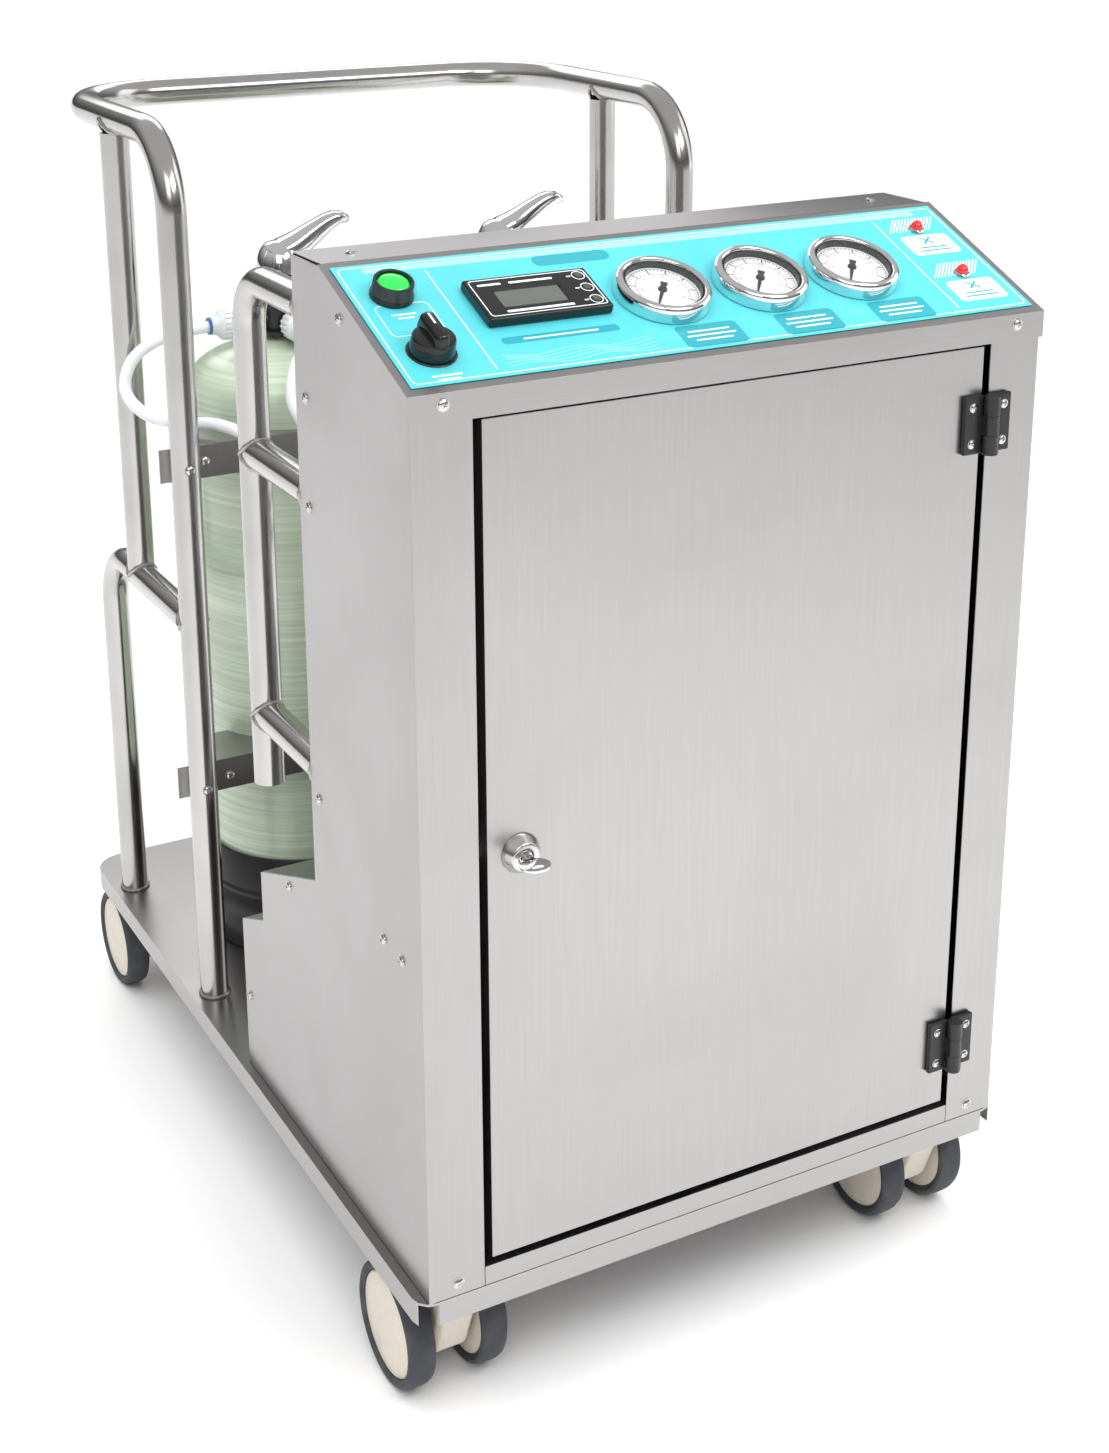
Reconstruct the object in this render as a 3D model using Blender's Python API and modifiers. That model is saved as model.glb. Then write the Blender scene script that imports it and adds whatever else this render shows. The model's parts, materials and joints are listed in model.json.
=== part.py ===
"""Mobile reverse osmosis unit: a stainless trolley that carries a steel cabinet and two resin tanks.

Metres, +Z up, +X to the right of a person who faces the door, +Y towards the push handle.
The floor is z = 0, and the origin is under the middle of the whole unit.
"""
import math

import bmesh
import bpy
from mathutils import Matrix, Vector

# Clearances and sheet metal
GAP = 0.0003                 # between pieces that touch
SHEET = 0.0015               # cabinet sheet
PLATE = 0.002                # tray and bracket sheet
FOLD = 0.0012                # outside rounding of a fold

# Castors
WHEEL_R = 0.050
WHEEL_WIDTH = 0.024
WHEEL_INNER_GAP = 0.036      # between the two wheels of one castor
CASTOR_TRAIL = 0.024
CASTOR_INSET_X = 0.047       # swivel axis to the tray's side
CASTOR_INSET_FRONT = 0.056
CASTOR_INSET_REAR = 0.065
AXLE_R = 0.005
WHEEL_TOP_CLEARANCE = 0.0025

# Tray
TRAY_WIDTH = 0.536
TRAY_LENGTH = 0.803
TRAY_NOTCH = 0.016            # open corner of the front flange
TRAY_NOSE_R = 0.014           # rounding of the deck's front corners
TRAY_FLANGE = 0.020
TRAY_CORNER_R = 0.028

# Cabinet
CAB_WIDTH = 0.520
CAB_HEIGHT = 0.746
CAB_DEPTH = 0.194
STILE_WIDTH = 0.0455
RAIL_HEIGHT = 0.0165
RAIL_RETURN = 0.022
STEP_DEPTHS = (0.315, 0.366)         # rear faces of the two steps behind the cabinet
STEP_HEIGHTS = (0.255, 0.207, 0.162, 0.140)
LID_FRONT_Z = CAB_HEIGHT - 0.061
LID_LIP = 0.020
LID_TOP_Y = 0.140
LID_PROUD = 0.002
LID_SKIRT = 0.022

# Door and its hardware
DOOR_GAP_SIDE = 0.0063
DOOR_BOTTOM_Z = 0.0225
DOOR_TOP_GAP = 0.0016
DOOR_DEPTH = 0.018
HINGE_HEIGHT = 0.045
HINGE_PIN_R = 0.0021
HINGE_KNUCKLE_R = 0.0062
HINGE_LEAF = 0.0045
HINGE_LEAF_REACH = 0.0215
HINGE_AXIS_Y = -0.0085
HINGE_CENTRES_Z = (0.0780, LID_FRONT_Z - 0.0805)
LOCK_FROM_EDGE = 0.026
LOCK_Z = LID_FRONT_Z - 0.339
LOCK_R = 0.0150
LOCK_PROUD = 0.009
LOCK_BARREL_R = 0.0095
PLUG_R = 0.0055
KEY_REACH = 0.033
KEY_BOW_R = 0.011
CAM_LENGTH = 0.038

# Console, in its own face: u across from the middle, v up the slope from the front edge
OVERLAY_THICK = 0.0004
OVERLAY_HALF = 0.2555
OVERLAY_V = (0.0075, 0.1480)
BUTTON_UV = (-0.2265, 0.108)
BUTTON_R = 0.0115
BUTTON_SEAT_R = 0.0145
BUTTON_TRAVEL = 0.004
SELECTOR_UV = (-0.226, 0.042)
SELECTOR_R = 0.0155
SELECTOR_SPINDLE_R = 0.011
METER_UV = (-0.128, 0.083)
METER_SIZE = (0.096, 0.048)
METER_CASE = (0.090, 0.043)
METER_DEPTH = 0.050
METER_KEY_R = 0.0032
METER_KEY_TRAVEL = 0.0006
GAUGE_U = (-0.0335, 0.0490, 0.1305)
GAUGE_V = 0.0725
GAUGE_R = 0.0355
GAUGE_BODY_R = 0.0310
GAUGE_DEPTH = 0.034
POINTER_LENGTH = 0.023
POINTER_REST = math.radians(216)     # clockwise from straight up the slope
LAMP_UV = ((0.223, 0.056), (0.223, 0.118))
LAMP_R = 0.0065

# Trolley tubes
TUBE_R = 0.0127
LEG_X = 0.247
LEG_Y = 0.490
HANDLE_Z = 0.790
HANDLE_REAR_Y = 0.800
HANDLE_BEND = 0.065           # where the legs turn back
HANDLE_CORNER = 0.095         # at the ends of the rear bar
POST_Y = 0.635
REAR_LEG_Y = 0.726
REAR_BAR_Z = 0.366
REAR_BEND = 0.055
GUARD_Y = 0.318
GUARD_TOP_Z = LID_FRONT_Z + 0.021
GUARD_END_Z = 0.286
GUARD_BEND = 0.040
GUARD_STRUTS_Z = (GUARD_END_Z + 0.060, GUARD_TOP_Z - 0.140)

# Tanks
TANK_R = 0.089
TANK_X = 0.0942 + TANK_R / 5   # fat tanks move apart a little, and stay inside the legs
TANK_Y = 0.509 + TANK_R         # so that their fronts stay behind the brackets
TANK_SHOULDER_Z = 0.546
TANK_DOME = 0.040
TANK_FOOT_Z = 0.012
BOOT_HEIGHT = 0.100
BOOT_WALL = 0.004
BRACKET_HEIGHTS = (0.195, 0.492)     # lower edges of the two flanges
BRACKET_FLANGE = 0.030
BRACKET_REACH = 0.060
BRACKET_HALF = 0.266
VALVE_R = 0.0245
VALVE_TOP_Z = 0.645
VALVE_COLLAR = 0.020
VALVE_NECK_R = 0.0195
PORT_R = 0.0105
PORT_LENGTH = 0.026
PORT_DROP = 0.022            # port axis below the collar
LEVER_BASE_R = 0.0222
LEVER_REACH = 0.064
HOSE_R = 0.0055

# What stands in the cabinet
MOTOR_R = 0.058
MOTOR_LENGTH = 0.150
PUMP_R = 0.043
PUMP_LENGTH = 0.110
VESSEL_R = 0.046
VESSEL_LENGTH = LID_FRONT_Z - 0.265
VESSEL_X = -0.185
FILTER_R = 0.036
FILTER_HEIGHT = 0.210
CONTROL_BOX = (0.150, 0.050, 0.120)

# Worked out from the sizes above
TRAY_TOP = 2 * WHEEL_R + WHEEL_TOP_CLEARANCE + TRAY_FLANGE
FRONT_Y = -(HANDLE_REAR_Y + TUBE_R - KEY_REACH) / 2
HALF_TRAY = TRAY_WIDTH / 2
HALF_CAB = CAB_WIDTH / 2
SLOPE = math.atan2(CAB_HEIGHT - LID_FRONT_Z, LID_TOP_Y + LID_PROUD)
OPENING_HALF = HALF_CAB - STILE_WIDTH
DOOR_HALF = OPENING_HALF - DOOR_GAP_SIDE
DOOR_TOP_Z = LID_FRONT_Z - LID_LIP - DOOR_TOP_GAP
HINGE_X = (DOOR_HALF + OPENING_HALF) / 2
LEG_BACK_Y = LEG_Y + TUBE_R
PORT_Z = VALVE_TOP_Z - VALVE_COLLAR - PORT_DROP

PARTS = "reverse_osmosis_unit"
CUTTERS = "cutters"


def at(x, y, z):
    """A place measured from the cabinet's front plane and the tray's top face."""
    return Vector((x, FRONT_Y + y, TRAY_TOP + z))


# ---------------------------------------------------------------- scene and materials
def clear_scene():
    for obj in list(bpy.data.objects):
        bpy.data.objects.remove(obj, do_unlink=True)
    for name in (PARTS, CUTTERS):
        collection = bpy.data.collections.new(name)
        bpy.context.scene.collection.children.link(collection)


def material(name, colour, roughness, metallic=0.0):
    found = bpy.data.materials.get(name)
    if found:
        return found
    made = bpy.data.materials.new(name)
    made.use_nodes = True
    shader = made.node_tree.nodes["Principled BSDF"]
    shader.inputs["Base Color"].default_value = (*colour, 1)
    shader.inputs["Roughness"].default_value = roughness
    shader.inputs["Metallic"].default_value = metallic
    made.diffuse_color = (*colour, 1)
    return made


def brushed():
    return material("brushed_steel", (0.60, 0.59, 0.58), 0.32, 1.0)


def chrome():
    return material("chrome", (0.85, 0.85, 0.86), 0.06, 1.0)


def black():
    return material("black_plastic", (0.02, 0.02, 0.022), 0.38)


def cream():
    return material("castor_cream", (0.76, 0.70, 0.62), 0.45)


def white():
    return material("white_plastic", (0.85, 0.87, 0.88), 0.35)


def move_to(obj, collection_name):
    for collection in list(obj.users_collection):
        collection.objects.unlink(obj)
    bpy.data.collections[collection_name].objects.link(obj)


def part(obj, name, finish, parent=None, smooth=True):
    """Name a finished sub-part, give it its material and put it in the unit's collection."""
    obj.name = name
    obj.data.name = name
    obj.data.materials.clear()
    obj.data.materials.append(finish)
    if smooth:
        obj.data.shade_smooth()
        obj.data.set_sharp_from_angle(angle=math.radians(32))
    move_to(obj, PARTS)
    if parent:
        obj.parent = parent
    return obj


def empty(name, location, rotation=(0, 0, 0)):
    made = bpy.data.objects.new(name, None)
    made.location = location
    made.rotation_euler = rotation
    bpy.data.collections[PARTS].objects.link(made)
    return made


# ---------------------------------------------------------------- shapes
def mesh_object(name, fill):
    """A mesh object whose bmesh the given function fills."""
    mesh = bpy.data.meshes.new(name)
    bm = bmesh.new()
    fill(bm)
    bm.to_mesh(mesh)
    bm.free()
    obj = bpy.data.objects.new(name, mesh)
    bpy.data.collections[PARTS].objects.link(obj)
    return obj


def block(low, high):
    """A box between two corners."""
    low, high = Vector(low), Vector(high)
    size = high - low

    def fill(bm):
        place = Matrix.Translation((low + high) / 2) @ Matrix.Diagonal((*size, 1))
        bmesh.ops.create_cube(bm, size=1, matrix=place)
    return mesh_object("block", fill)


def rod(radius, length, sides=24, axis="Z", centre=(0, 0, 0), taper=1.0):
    """A closed cylinder, or a cone frustum, along one axis, centred on a point."""
    turn = {"Z": Matrix(), "X": Matrix.Rotation(math.pi / 2, 4, "Y"),
            "Y": Matrix.Rotation(-math.pi / 2, 4, "X")}[axis]

    def fill(bm):
        bmesh.ops.create_cone(bm, cap_ends=True, segments=sides, radius1=radius,
                              radius2=radius * taper, depth=length,
                              matrix=Matrix.Translation(centre) @ turn)
    return mesh_object("rod", fill)


def from_curve(curve_obj):
    """Turn a curve object into a closed mesh object in the same place."""
    graph = bpy.context.evaluated_depsgraph_get()
    mesh = bpy.data.meshes.new_from_object(curve_obj.evaluated_get(graph))
    bm = bmesh.new()
    bm.from_mesh(mesh)
    bmesh.ops.remove_doubles(bm, verts=bm.verts, dist=1e-6)
    bmesh.ops.recalc_face_normals(bm, faces=bm.faces)
    bm.to_mesh(mesh)
    bm.free()
    obj = bpy.data.objects.new(curve_obj.name, mesh)
    obj.matrix_world = curve_obj.matrix_world.copy()
    bpy.data.collections[PARTS].objects.link(obj)
    bpy.data.objects.remove(curve_obj, do_unlink=True)
    return obj


def curve_object(points, closed, dimensions):
    curve = bpy.data.curves.new("outline", "CURVE")
    curve.dimensions = dimensions
    spline = curve.splines.new("POLY")
    spline.points.add(len(points) - 1)
    for target, point in zip(spline.points, points):
        target.co = (*point, 0, 1) if dimensions == "2D" else (*point, 1)
    spline.use_cyclic_u = closed
    obj = bpy.data.objects.new("outline", curve)
    bpy.data.collections[PARTS].objects.link(obj)
    return obj


def slab(outline, thickness, basis=Matrix()):
    """A flat outline, extruded by its thickness about its own plane, then placed by a matrix."""
    obj = curve_object(outline, True, "2D")
    obj.data.fill_mode = "BOTH"
    obj.data.extrude = thickness / 2
    bpy.context.view_layer.update()
    made = from_curve(obj)
    made.data.transform(basis)
    made.matrix_world = Matrix()
    return made


def arc(centre, radius, start, end, steps):
    """Points on an arc, angles in degrees."""
    turn = [math.radians(start + (end - start) * i / steps) for i in range(steps + 1)]
    return [(centre[0] + radius * math.cos(a), centre[1] + radius * math.sin(a)) for a in turn]


def bent_path(corners, radii, steps=6):
    """A path through corners, each inner corner rounded to its bend radius."""
    corners = [Vector(c) for c in corners]
    if not isinstance(radii, tuple):
        radii = (radii,) * len(corners)
    path = [corners[0]]
    for before, corner, after, radius in zip(corners, corners[1:], corners[2:], radii):
        back, on = (before - corner).normalized(), (after - corner).normalized()
        half = back.angle(on) / 2
        reach = radius / math.tan(half)
        centre = corner + (back + on).normalized() * (radius / math.sin(half))
        first = (corner + back * reach - centre).normalized()
        last = (corner + on * reach - centre).normalized()
        path += [centre + first.slerp(last, i / steps) * radius for i in range(steps + 1)]
    path.append(corners[-1])
    return path


def tube(path, radius, resolution=3):
    """A round bar or tube along a path, closed at both ends, with 4 + 2 x resolution sides."""
    obj = curve_object([tuple(p) for p in path], False, "3D")
    obj.data.bevel_depth = radius
    obj.data.bevel_resolution = resolution
    obj.data.use_fill_caps = True
    bpy.context.view_layer.update()
    return from_curve(obj)


def turned(profile, steps=24, closed=False):
    """A profile of (radius, height) points turned about Z. It runs from the top down its outer side."""
    def fill(bm):
        verts = [bm.verts.new((r, 0, z)) for r, z in profile]
        for first, second in zip(verts, verts[1:]):
            bm.edges.new((first, second))
        if closed:
            bm.edges.new((verts[-1], verts[0]))
    obj = mesh_object("turned", fill)
    screw = obj.modifiers.new("Screw", "SCREW")
    screw.steps = screw.render_steps = steps
    screw.use_merge_vertices = True
    screw.merge_threshold = 1e-5
    return obj


def folded(section, half_width, thickness, centre_x=0.0):
    """Sheet folded along X: an open section of (y, z) points, thickened inwards."""
    def fill(bm):
        rows = [[bm.verts.new((centre_x + side * half_width, y, z)) for y, z in section]
                for side in (-1, 1)]
        for i in range(len(section) - 1):
            bm.faces.new((rows[0][i], rows[1][i], rows[1][i + 1], rows[0][i + 1]))
    obj = mesh_object("folded", fill)
    solidify(obj, thickness)
    return obj


def solidify(obj, thickness, offset=-1.0):
    mod = obj.modifiers.new("Solidify", "SOLIDIFY")
    mod.thickness = thickness
    mod.offset = offset
    mod.use_even_offset = True


def bevel(obj, width, segments=2, angle=30):
    mod = obj.modifiers.new("Bevel", "BEVEL")
    mod.width = width
    mod.segments = segments
    mod.limit_method = "ANGLE"
    mod.angle_limit = math.radians(angle)


def combine(obj, other, operation):
    """Cut one shape from another, or join two into one body. The second follows the first."""
    mod = obj.modifiers.new(operation.title(), "BOOLEAN")
    mod.operation = operation
    mod.object = other
    other.parent = obj
    other.name = "cutter_" + other.name
    other.hide_render = True
    other.display_type = "WIRE"
    move_to(other, CUTTERS)
    return obj


def cut(obj, *others):
    for other in others:
        combine(obj, other, "DIFFERENCE")
    return obj


def join(obj, *others):
    for other in others:
        combine(obj, other, "UNION")
    return obj


def placed(obj, location, rotation=(0, 0, 0)):
    obj.location = location
    obj.rotation_euler = rotation
    return obj


# ---------------------------------------------------------------- trolley
def castor_places():
    x = HALF_TRAY - CASTOR_INSET_X
    front, rear = CASTOR_INSET_FRONT, TRAY_LENGTH - CASTOR_INSET_REAR
    return {"front_left": (-x, front), "front_right": (x, front),
            "rear_left": (-x, rear), "rear_right": (x, rear)}


def castor(name, x, y):
    """A twin-wheel castor: a moulded fork that swivels, and two wheels on one axle that trails it."""
    swivel = empty("swivel_" + name, (x, FRONT_Y + y, 0))
    top = TRAY_TOP - PLATE - GAP
    fork_half = WHEEL_INNER_GAP / 2 - 0.002
    outline = [(-0.027, top), (-0.024, 0.078), (-0.008, 0.036), (0.004, 0.028),
               (0.022, 0.030), (0.036, 0.040), (0.042, 0.060), (0.036, top)]
    stand = Matrix(((0, 0, 1, 0), (1, 0, 0, 0), (0, 1, 0, 0), (0, 0, 0, 1)))
    fork = slab(outline, 2 * fork_half, stand)
    bevel(fork, 0.004, 1)
    cut(fork, rod(AXLE_R + GAP, 4 * fork_half, 16, "X", (0, CASTOR_TRAIL, WHEEL_R)))
    part(fork, "castor_fork_" + name, cream(), swivel)

    axle = empty("axle_" + name, (0, CASTOR_TRAIL, WHEEL_R))
    axle.parent = swivel
    inner, outer = WHEEL_INNER_GAP / 2, WHEEL_INNER_GAP / 2 + WHEEL_WIDTH
    shoulder = 0.005
    one_side = [(WHEEL_R - shoulder, outer), (WHEEL_R - 0.0012, outer - 0.0020), (WHEEL_R, outer - shoulder),
                (WHEEL_R, inner + shoulder), (WHEEL_R - shoulder, inner), (AXLE_R, inner)]
    hub = [(0, outer - 0.002), (WHEEL_R - 0.010, outer - 0.002)]
    profile = hub + one_side + [(r, -z) for r, z in reversed(hub + one_side)]
    wheels = turned(profile, 20)
    placed(wheels, (0, 0, 0), (0, math.pi / 2, 0))
    part(wheels, "castor_wheels_" + name, material("castor_tyre", (0.05, 0.052, 0.06), 0.7), axle)


def base_tray():
    """The pressed tray: a flat deck with a flange turned down along each side."""
    deck = arc((-HALF_TRAY + TRAY_NOSE_R, TRAY_NOSE_R), TRAY_NOSE_R, 180, 270, 3)
    deck += arc((HALF_TRAY - TRAY_NOSE_R, TRAY_NOSE_R), TRAY_NOSE_R, 270, 360, 3)
    deck += arc((HALF_TRAY - TRAY_CORNER_R, TRAY_LENGTH - TRAY_CORNER_R), TRAY_CORNER_R, 0, 90, 4)
    deck += arc((-HALF_TRAY + TRAY_CORNER_R, TRAY_LENGTH - TRAY_CORNER_R), TRAY_CORNER_R, 90, 180, 4)
    tray = slab(deck, TRAY_FLANGE, Matrix.Translation((0, FRONT_Y, TRAY_TOP - TRAY_FLANGE / 2)))
    inside = [(-HALF_TRAY + PLATE, PLATE), (HALF_TRAY - PLATE, PLATE)]
    inner_r = TRAY_CORNER_R - PLATE
    inside += arc((HALF_TRAY - TRAY_CORNER_R, TRAY_LENGTH - TRAY_CORNER_R), inner_r, 0, 90, 4)
    inside += arc((-HALF_TRAY + TRAY_CORNER_R, TRAY_LENGTH - TRAY_CORNER_R), inner_r, 90, 180, 4)
    hollow = slab(inside, TRAY_FLANGE, Matrix.Translation((0, FRONT_Y, TRAY_TOP - TRAY_FLANGE / 2 - PLATE)))
    notches = [block(at(side * (HALF_TRAY - TRAY_NOTCH / 2) - TRAY_NOTCH / 2, -0.01, -TRAY_FLANGE - 0.01),
                     at(side * (HALF_TRAY - TRAY_NOTCH / 2) + TRAY_NOTCH / 2, PLATE + GAP, -PLATE - GAP))
               for side in (-1, 1)]
    cut(tray, hollow, *notches)
    part(tray, "base_tray", brushed())


def push_handle():
    """One bent tube: up from the tray, back over the tanks and down to the tray on the other side."""
    corners = [at(-LEG_X, LEG_Y, GAP), at(-LEG_X, LEG_Y, HANDLE_Z), at(-LEG_X, HANDLE_REAR_Y, HANDLE_Z),
               at(LEG_X, HANDLE_REAR_Y, HANDLE_Z), at(LEG_X, LEG_Y, HANDLE_Z), at(LEG_X, LEG_Y, GAP)]
    bends = (HANDLE_BEND, HANDLE_CORNER, HANDLE_CORNER, HANDLE_BEND)
    part(tube(bent_path(corners, bends), TUBE_R), "push_handle", brushed())


def rear_frame(name, side):
    """The rear leg, bent forward to the handle's leg, and the post that stands on it."""
    x = side * LEG_X
    saddle = TUBE_R + GAP
    leg = tube(bent_path([at(x, LEG_BACK_Y + GAP, REAR_BAR_Z), at(x, REAR_LEG_Y, REAR_BAR_Z),
                          at(x, REAR_LEG_Y, GAP)], REAR_BEND), TUBE_R)
    post = tube([at(x, POST_Y, REAR_BAR_Z), at(x, POST_Y, HANDLE_Z - saddle)], TUBE_R)
    part(join(leg, post), "rear_frame_" + name, brushed())


def guard_rail(name, side):
    """The hand rail behind the cabinet: a bent tube, open at its foot, on two struts."""
    x = side * LEG_X
    start = CAB_DEPTH + GAP
    rail = tube(bent_path([at(x, start, GUARD_TOP_Z), at(x, GUARD_Y, GUARD_TOP_Z),
                           at(x, GUARD_Y, GUARD_END_Z)], GUARD_BEND), TUBE_R)
    struts = [tube([at(x, start, z), at(x, GUARD_Y, z)], TUBE_R) for z in GUARD_STRUTS_Z]
    part(join(rail, *struts), "guard_rail_" + name, brushed())


def tank_bracket(name, low_z):
    """A folded bracket behind the handle's legs, with a saddle for each tank."""
    front = LEG_BACK_Y + GAP
    top = low_z + BRACKET_FLANGE
    flange = block(at(-BRACKET_HALF, front, low_z), at(BRACKET_HALF, front + PLATE, top))
    reach = LEG_X - TUBE_R - 0.004
    shelf = block(at(-reach, front + PLATE / 2, top - PLATE), at(reach, front + BRACKET_REACH, top))
    saddles = [rod(TANK_R + 0.002, 3 * BRACKET_FLANGE, 48, "Z", at(side * TANK_X, TANK_Y, top))
               for side in (-1, 1)]
    join(flange, shelf)
    part(cut(flange, *saddles), name, brushed())


# ---------------------------------------------------------------- tanks
def tank(name, side):
    """A wound resin tank with a domed top, its boot, the valve head and the chrome lever."""
    stand = empty("tank_axis_" + name, at(side * TANK_X, TANK_Y, 0))
    crown = TANK_SHOULDER_Z + TANK_DOME
    dome = [(0, crown + 0.004), (0.020, crown + 0.004)]
    for i in range(1, 7):
        turn = math.radians(78 - 13 * i)
        dome.append((TANK_R * math.cos(turn), TANK_SHOULDER_Z + TANK_DOME * math.sin(turn)))
    foot = [(TANK_R, TANK_FOOT_Z + 0.045), (TANK_R * 0.86, TANK_FOOT_Z + 0.015),
            (TANK_R * 0.5, TANK_FOOT_Z), (0, TANK_FOOT_Z)]
    part(turned(dome + foot, 22), "tank_" + name, material("wound_resin", (0.60, 0.70, 0.58), 0.28), stand)

    bore, outer = TANK_R + GAP, TANK_R + BOOT_WALL
    cup = [(bore, BOOT_HEIGHT), (outer, BOOT_HEIGHT - 0.001), (outer, 0.062), (outer + 0.002, 0.058),
           (outer + 0.002, GAP), (TANK_R * 0.4, GAP), (TANK_R * 0.4, TANK_FOOT_Z - GAP - 0.004),
           (TANK_R * 0.5, TANK_FOOT_Z - GAP - 0.002), (TANK_R * 0.86 + GAP * 3, TANK_FOOT_Z + 0.013),
           (bore, TANK_FOOT_Z + 0.043)]
    part(turned(cup, 22, closed=True), "tank_boot_" + name, black(), stand)

    low = crown + 0.004 + GAP
    head = [(0, VALVE_TOP_Z), (VALVE_R, VALVE_TOP_Z), (VALVE_R, VALVE_TOP_Z - VALVE_COLLAR),
            (VALVE_NECK_R, VALVE_TOP_Z - VALVE_COLLAR - 0.002), (VALVE_NECK_R, low), (0, low)]
    body = turned(head, 20)
    middle = VALVE_NECK_R + PORT_LENGTH / 2 - 0.003
    outer = rod(PORT_R, PORT_LENGTH + 0.006, 12, "X", (side * middle, 0, PORT_Z))
    front = rod(PORT_R, PORT_LENGTH + 0.006, 12, "Y", (0, -middle, PORT_Z))
    part(join(body, outer, front), "valve_head_" + name, black(), stand)
    valve_lever(name, stand)


def valve_lever(name, stand):
    """A single-lever handle: a dome over the valve and a tapered arm that rises to its tip."""
    pivot = empty("lever_" + name, (0, 0, VALVE_TOP_Z + GAP))
    pivot.parent = stand
    dome = [(0, 0.030), (0.009, 0.029), (0.0165, 0.024), (0.0210, 0.0145),
            (LEVER_BASE_R, 0.005), (LEVER_BASE_R, 0), (0, 0)]
    cap = turned(dome, 20)
    side_view = [(-0.005, 0.009), (0.020, 0.012), (0.042, 0.026), (0.056, 0.038), (LEVER_REACH, 0.039),
                 (LEVER_REACH, 0.046), (0.057, 0.050), (0.036, 0.043), (0.010, 0.031), (-0.005, 0.026)]
    upright = Matrix(((1, 0, 0, 0), (0, 0, -1, 0), (0, 1, 0, 0), (0, 0, 0, 1)))
    arm = slab(side_view, 0.017, upright)
    bevel(arm, 0.003, 1)
    part(join(cap, arm), "valve_lever_" + name, chrome(), pivot)


def hose(name, points):
    """A white hose, straight out of its port and into its end, and a smooth curve between."""
    points = [at(*p) for p in points]
    path = [points[0]]
    for before, start, end, after in zip(points, points[1:], points[2:], points[3:]):
        path += [smooth_point(before, start, end, after, k / 3) for k in range(3)]
    path += points[-2:]
    part(tube(path, HOSE_R, 2), name, white())


def smooth_point(a, b, c, d, t):
    """A point on the smooth curve from b to c, with a and d as its neighbours."""
    return 0.5 * (2 * b + (c - a) * t + (2 * a - 5 * b + 4 * c - d) * t ** 2
                  + (3 * b - a - 3 * c + d) * t ** 3)


def hoses():
    """The hoses from the valve heads' side ports to the cabinet's back."""
    reach = VALVE_NECK_R + PORT_LENGTH + GAP
    back = CAB_DEPTH + GAP
    left = -TANK_X - reach
    hose("hose_left_inlet", [
        (left, TANK_Y, PORT_Z), (left - 0.020, TANK_Y, PORT_Z), (-0.222, 0.602, 0.597), (-0.252, 0.604, 0.580),
        (-0.262, 0.600, 0.553), (-0.252, 0.578, 0.535), (-0.232, 0.548, 0.532), (-0.205, 0.512, 0.534),
        (-0.183, 0.478, 0.522), (-0.163, 0.410, 0.498), (-0.148, 0.300, 0.464),
        (-0.145, back + 0.020, 0.450), (-0.145, back, 0.450)])
    front = TANK_Y - reach
    hose("hose_left_outlet", [
        (-TANK_X, front, PORT_Z), (-TANK_X, front - 0.014, PORT_Z), (-0.122, 0.523, 0.592), (-0.138, 0.509, 0.572),
        (-0.144, 0.496, 0.548), (-0.132, 0.478, 0.522), (-0.112, 0.430, 0.500), (-0.100, 0.330, 0.485),
        (-0.100, back + 0.020, 0.480), (-0.100, back, 0.480)])
    right = TANK_X + reach
    hose("hose_right_outlet", [
        (right, TANK_Y, PORT_Z), (right + 0.014, TANK_Y, PORT_Z), (0.196, 0.588, 0.596), (0.208, 0.560, 0.578),
        (0.204, 0.520, 0.552), (0.188, 0.460, 0.525), (0.170, 0.380, 0.490), (0.150, 0.290, 0.459),
        (0.145, back + 0.020, 0.450), (0.145, back, 0.450)])


# ---------------------------------------------------------------- cabinet
def side_outline(inset):
    """The cabinet's side, as (y, z) points, with its sloped top lowered by the inset."""
    drop = inset / math.cos(SLOPE)
    slope_front = LID_FRONT_Z + LID_PROUD * math.tan(SLOPE) - drop
    return [(0, GAP), (STEP_DEPTHS[1], GAP), (STEP_DEPTHS[1], STEP_HEIGHTS[3]),
            (STEP_DEPTHS[0], STEP_HEIGHTS[2]), (STEP_DEPTHS[0], STEP_HEIGHTS[1]),
            (CAB_DEPTH, STEP_HEIGHTS[0]), (CAB_DEPTH, CAB_HEIGHT - inset),
            (LID_TOP_Y, CAB_HEIGHT - inset), (0, slope_front)]


def side_panel(name, side):
    """A side sheet with the front stile folded from it."""
    inset = SHEET + GAP
    stand = Matrix(((0, 0, 1, 0), (1, 0, 0, 0), (0, 1, 0, 0), (0, 0, 0, 1)))
    centre = at(side * (HALF_CAB - SHEET / 2), 0, 0)
    panel = slab(side_outline(inset), SHEET, Matrix.Translation(centre) @ stand)
    edges = sorted((side * OPENING_HALF, side * (HALF_CAB - SHEET / 2)))
    stile_top = LID_FRONT_Z - inset - 0.001
    stile = block(at(edges[0], 0, GAP), at(edges[1], SHEET, stile_top))
    part(join(panel, stile), "side_panel_" + name, brushed())


def back_cover():
    """One folded sheet: the flat top, the upright back and the two steps behind it."""
    inset = GAP
    section = [(LID_TOP_Y + 0.001, CAB_HEIGHT), (CAB_DEPTH, CAB_HEIGHT), (CAB_DEPTH, STEP_HEIGHTS[0]),
               (STEP_DEPTHS[0], STEP_HEIGHTS[1]), (STEP_DEPTHS[0], STEP_HEIGHTS[2]),
               (STEP_DEPTHS[1], STEP_HEIGHTS[3]), (STEP_DEPTHS[1], inset)]
    points = [(FRONT_Y + y, TRAY_TOP + z) for y, z in section]
    cover = folded(points, HALF_CAB - SHEET - GAP, SHEET)
    part(cover, "back_cover", brushed())


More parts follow.
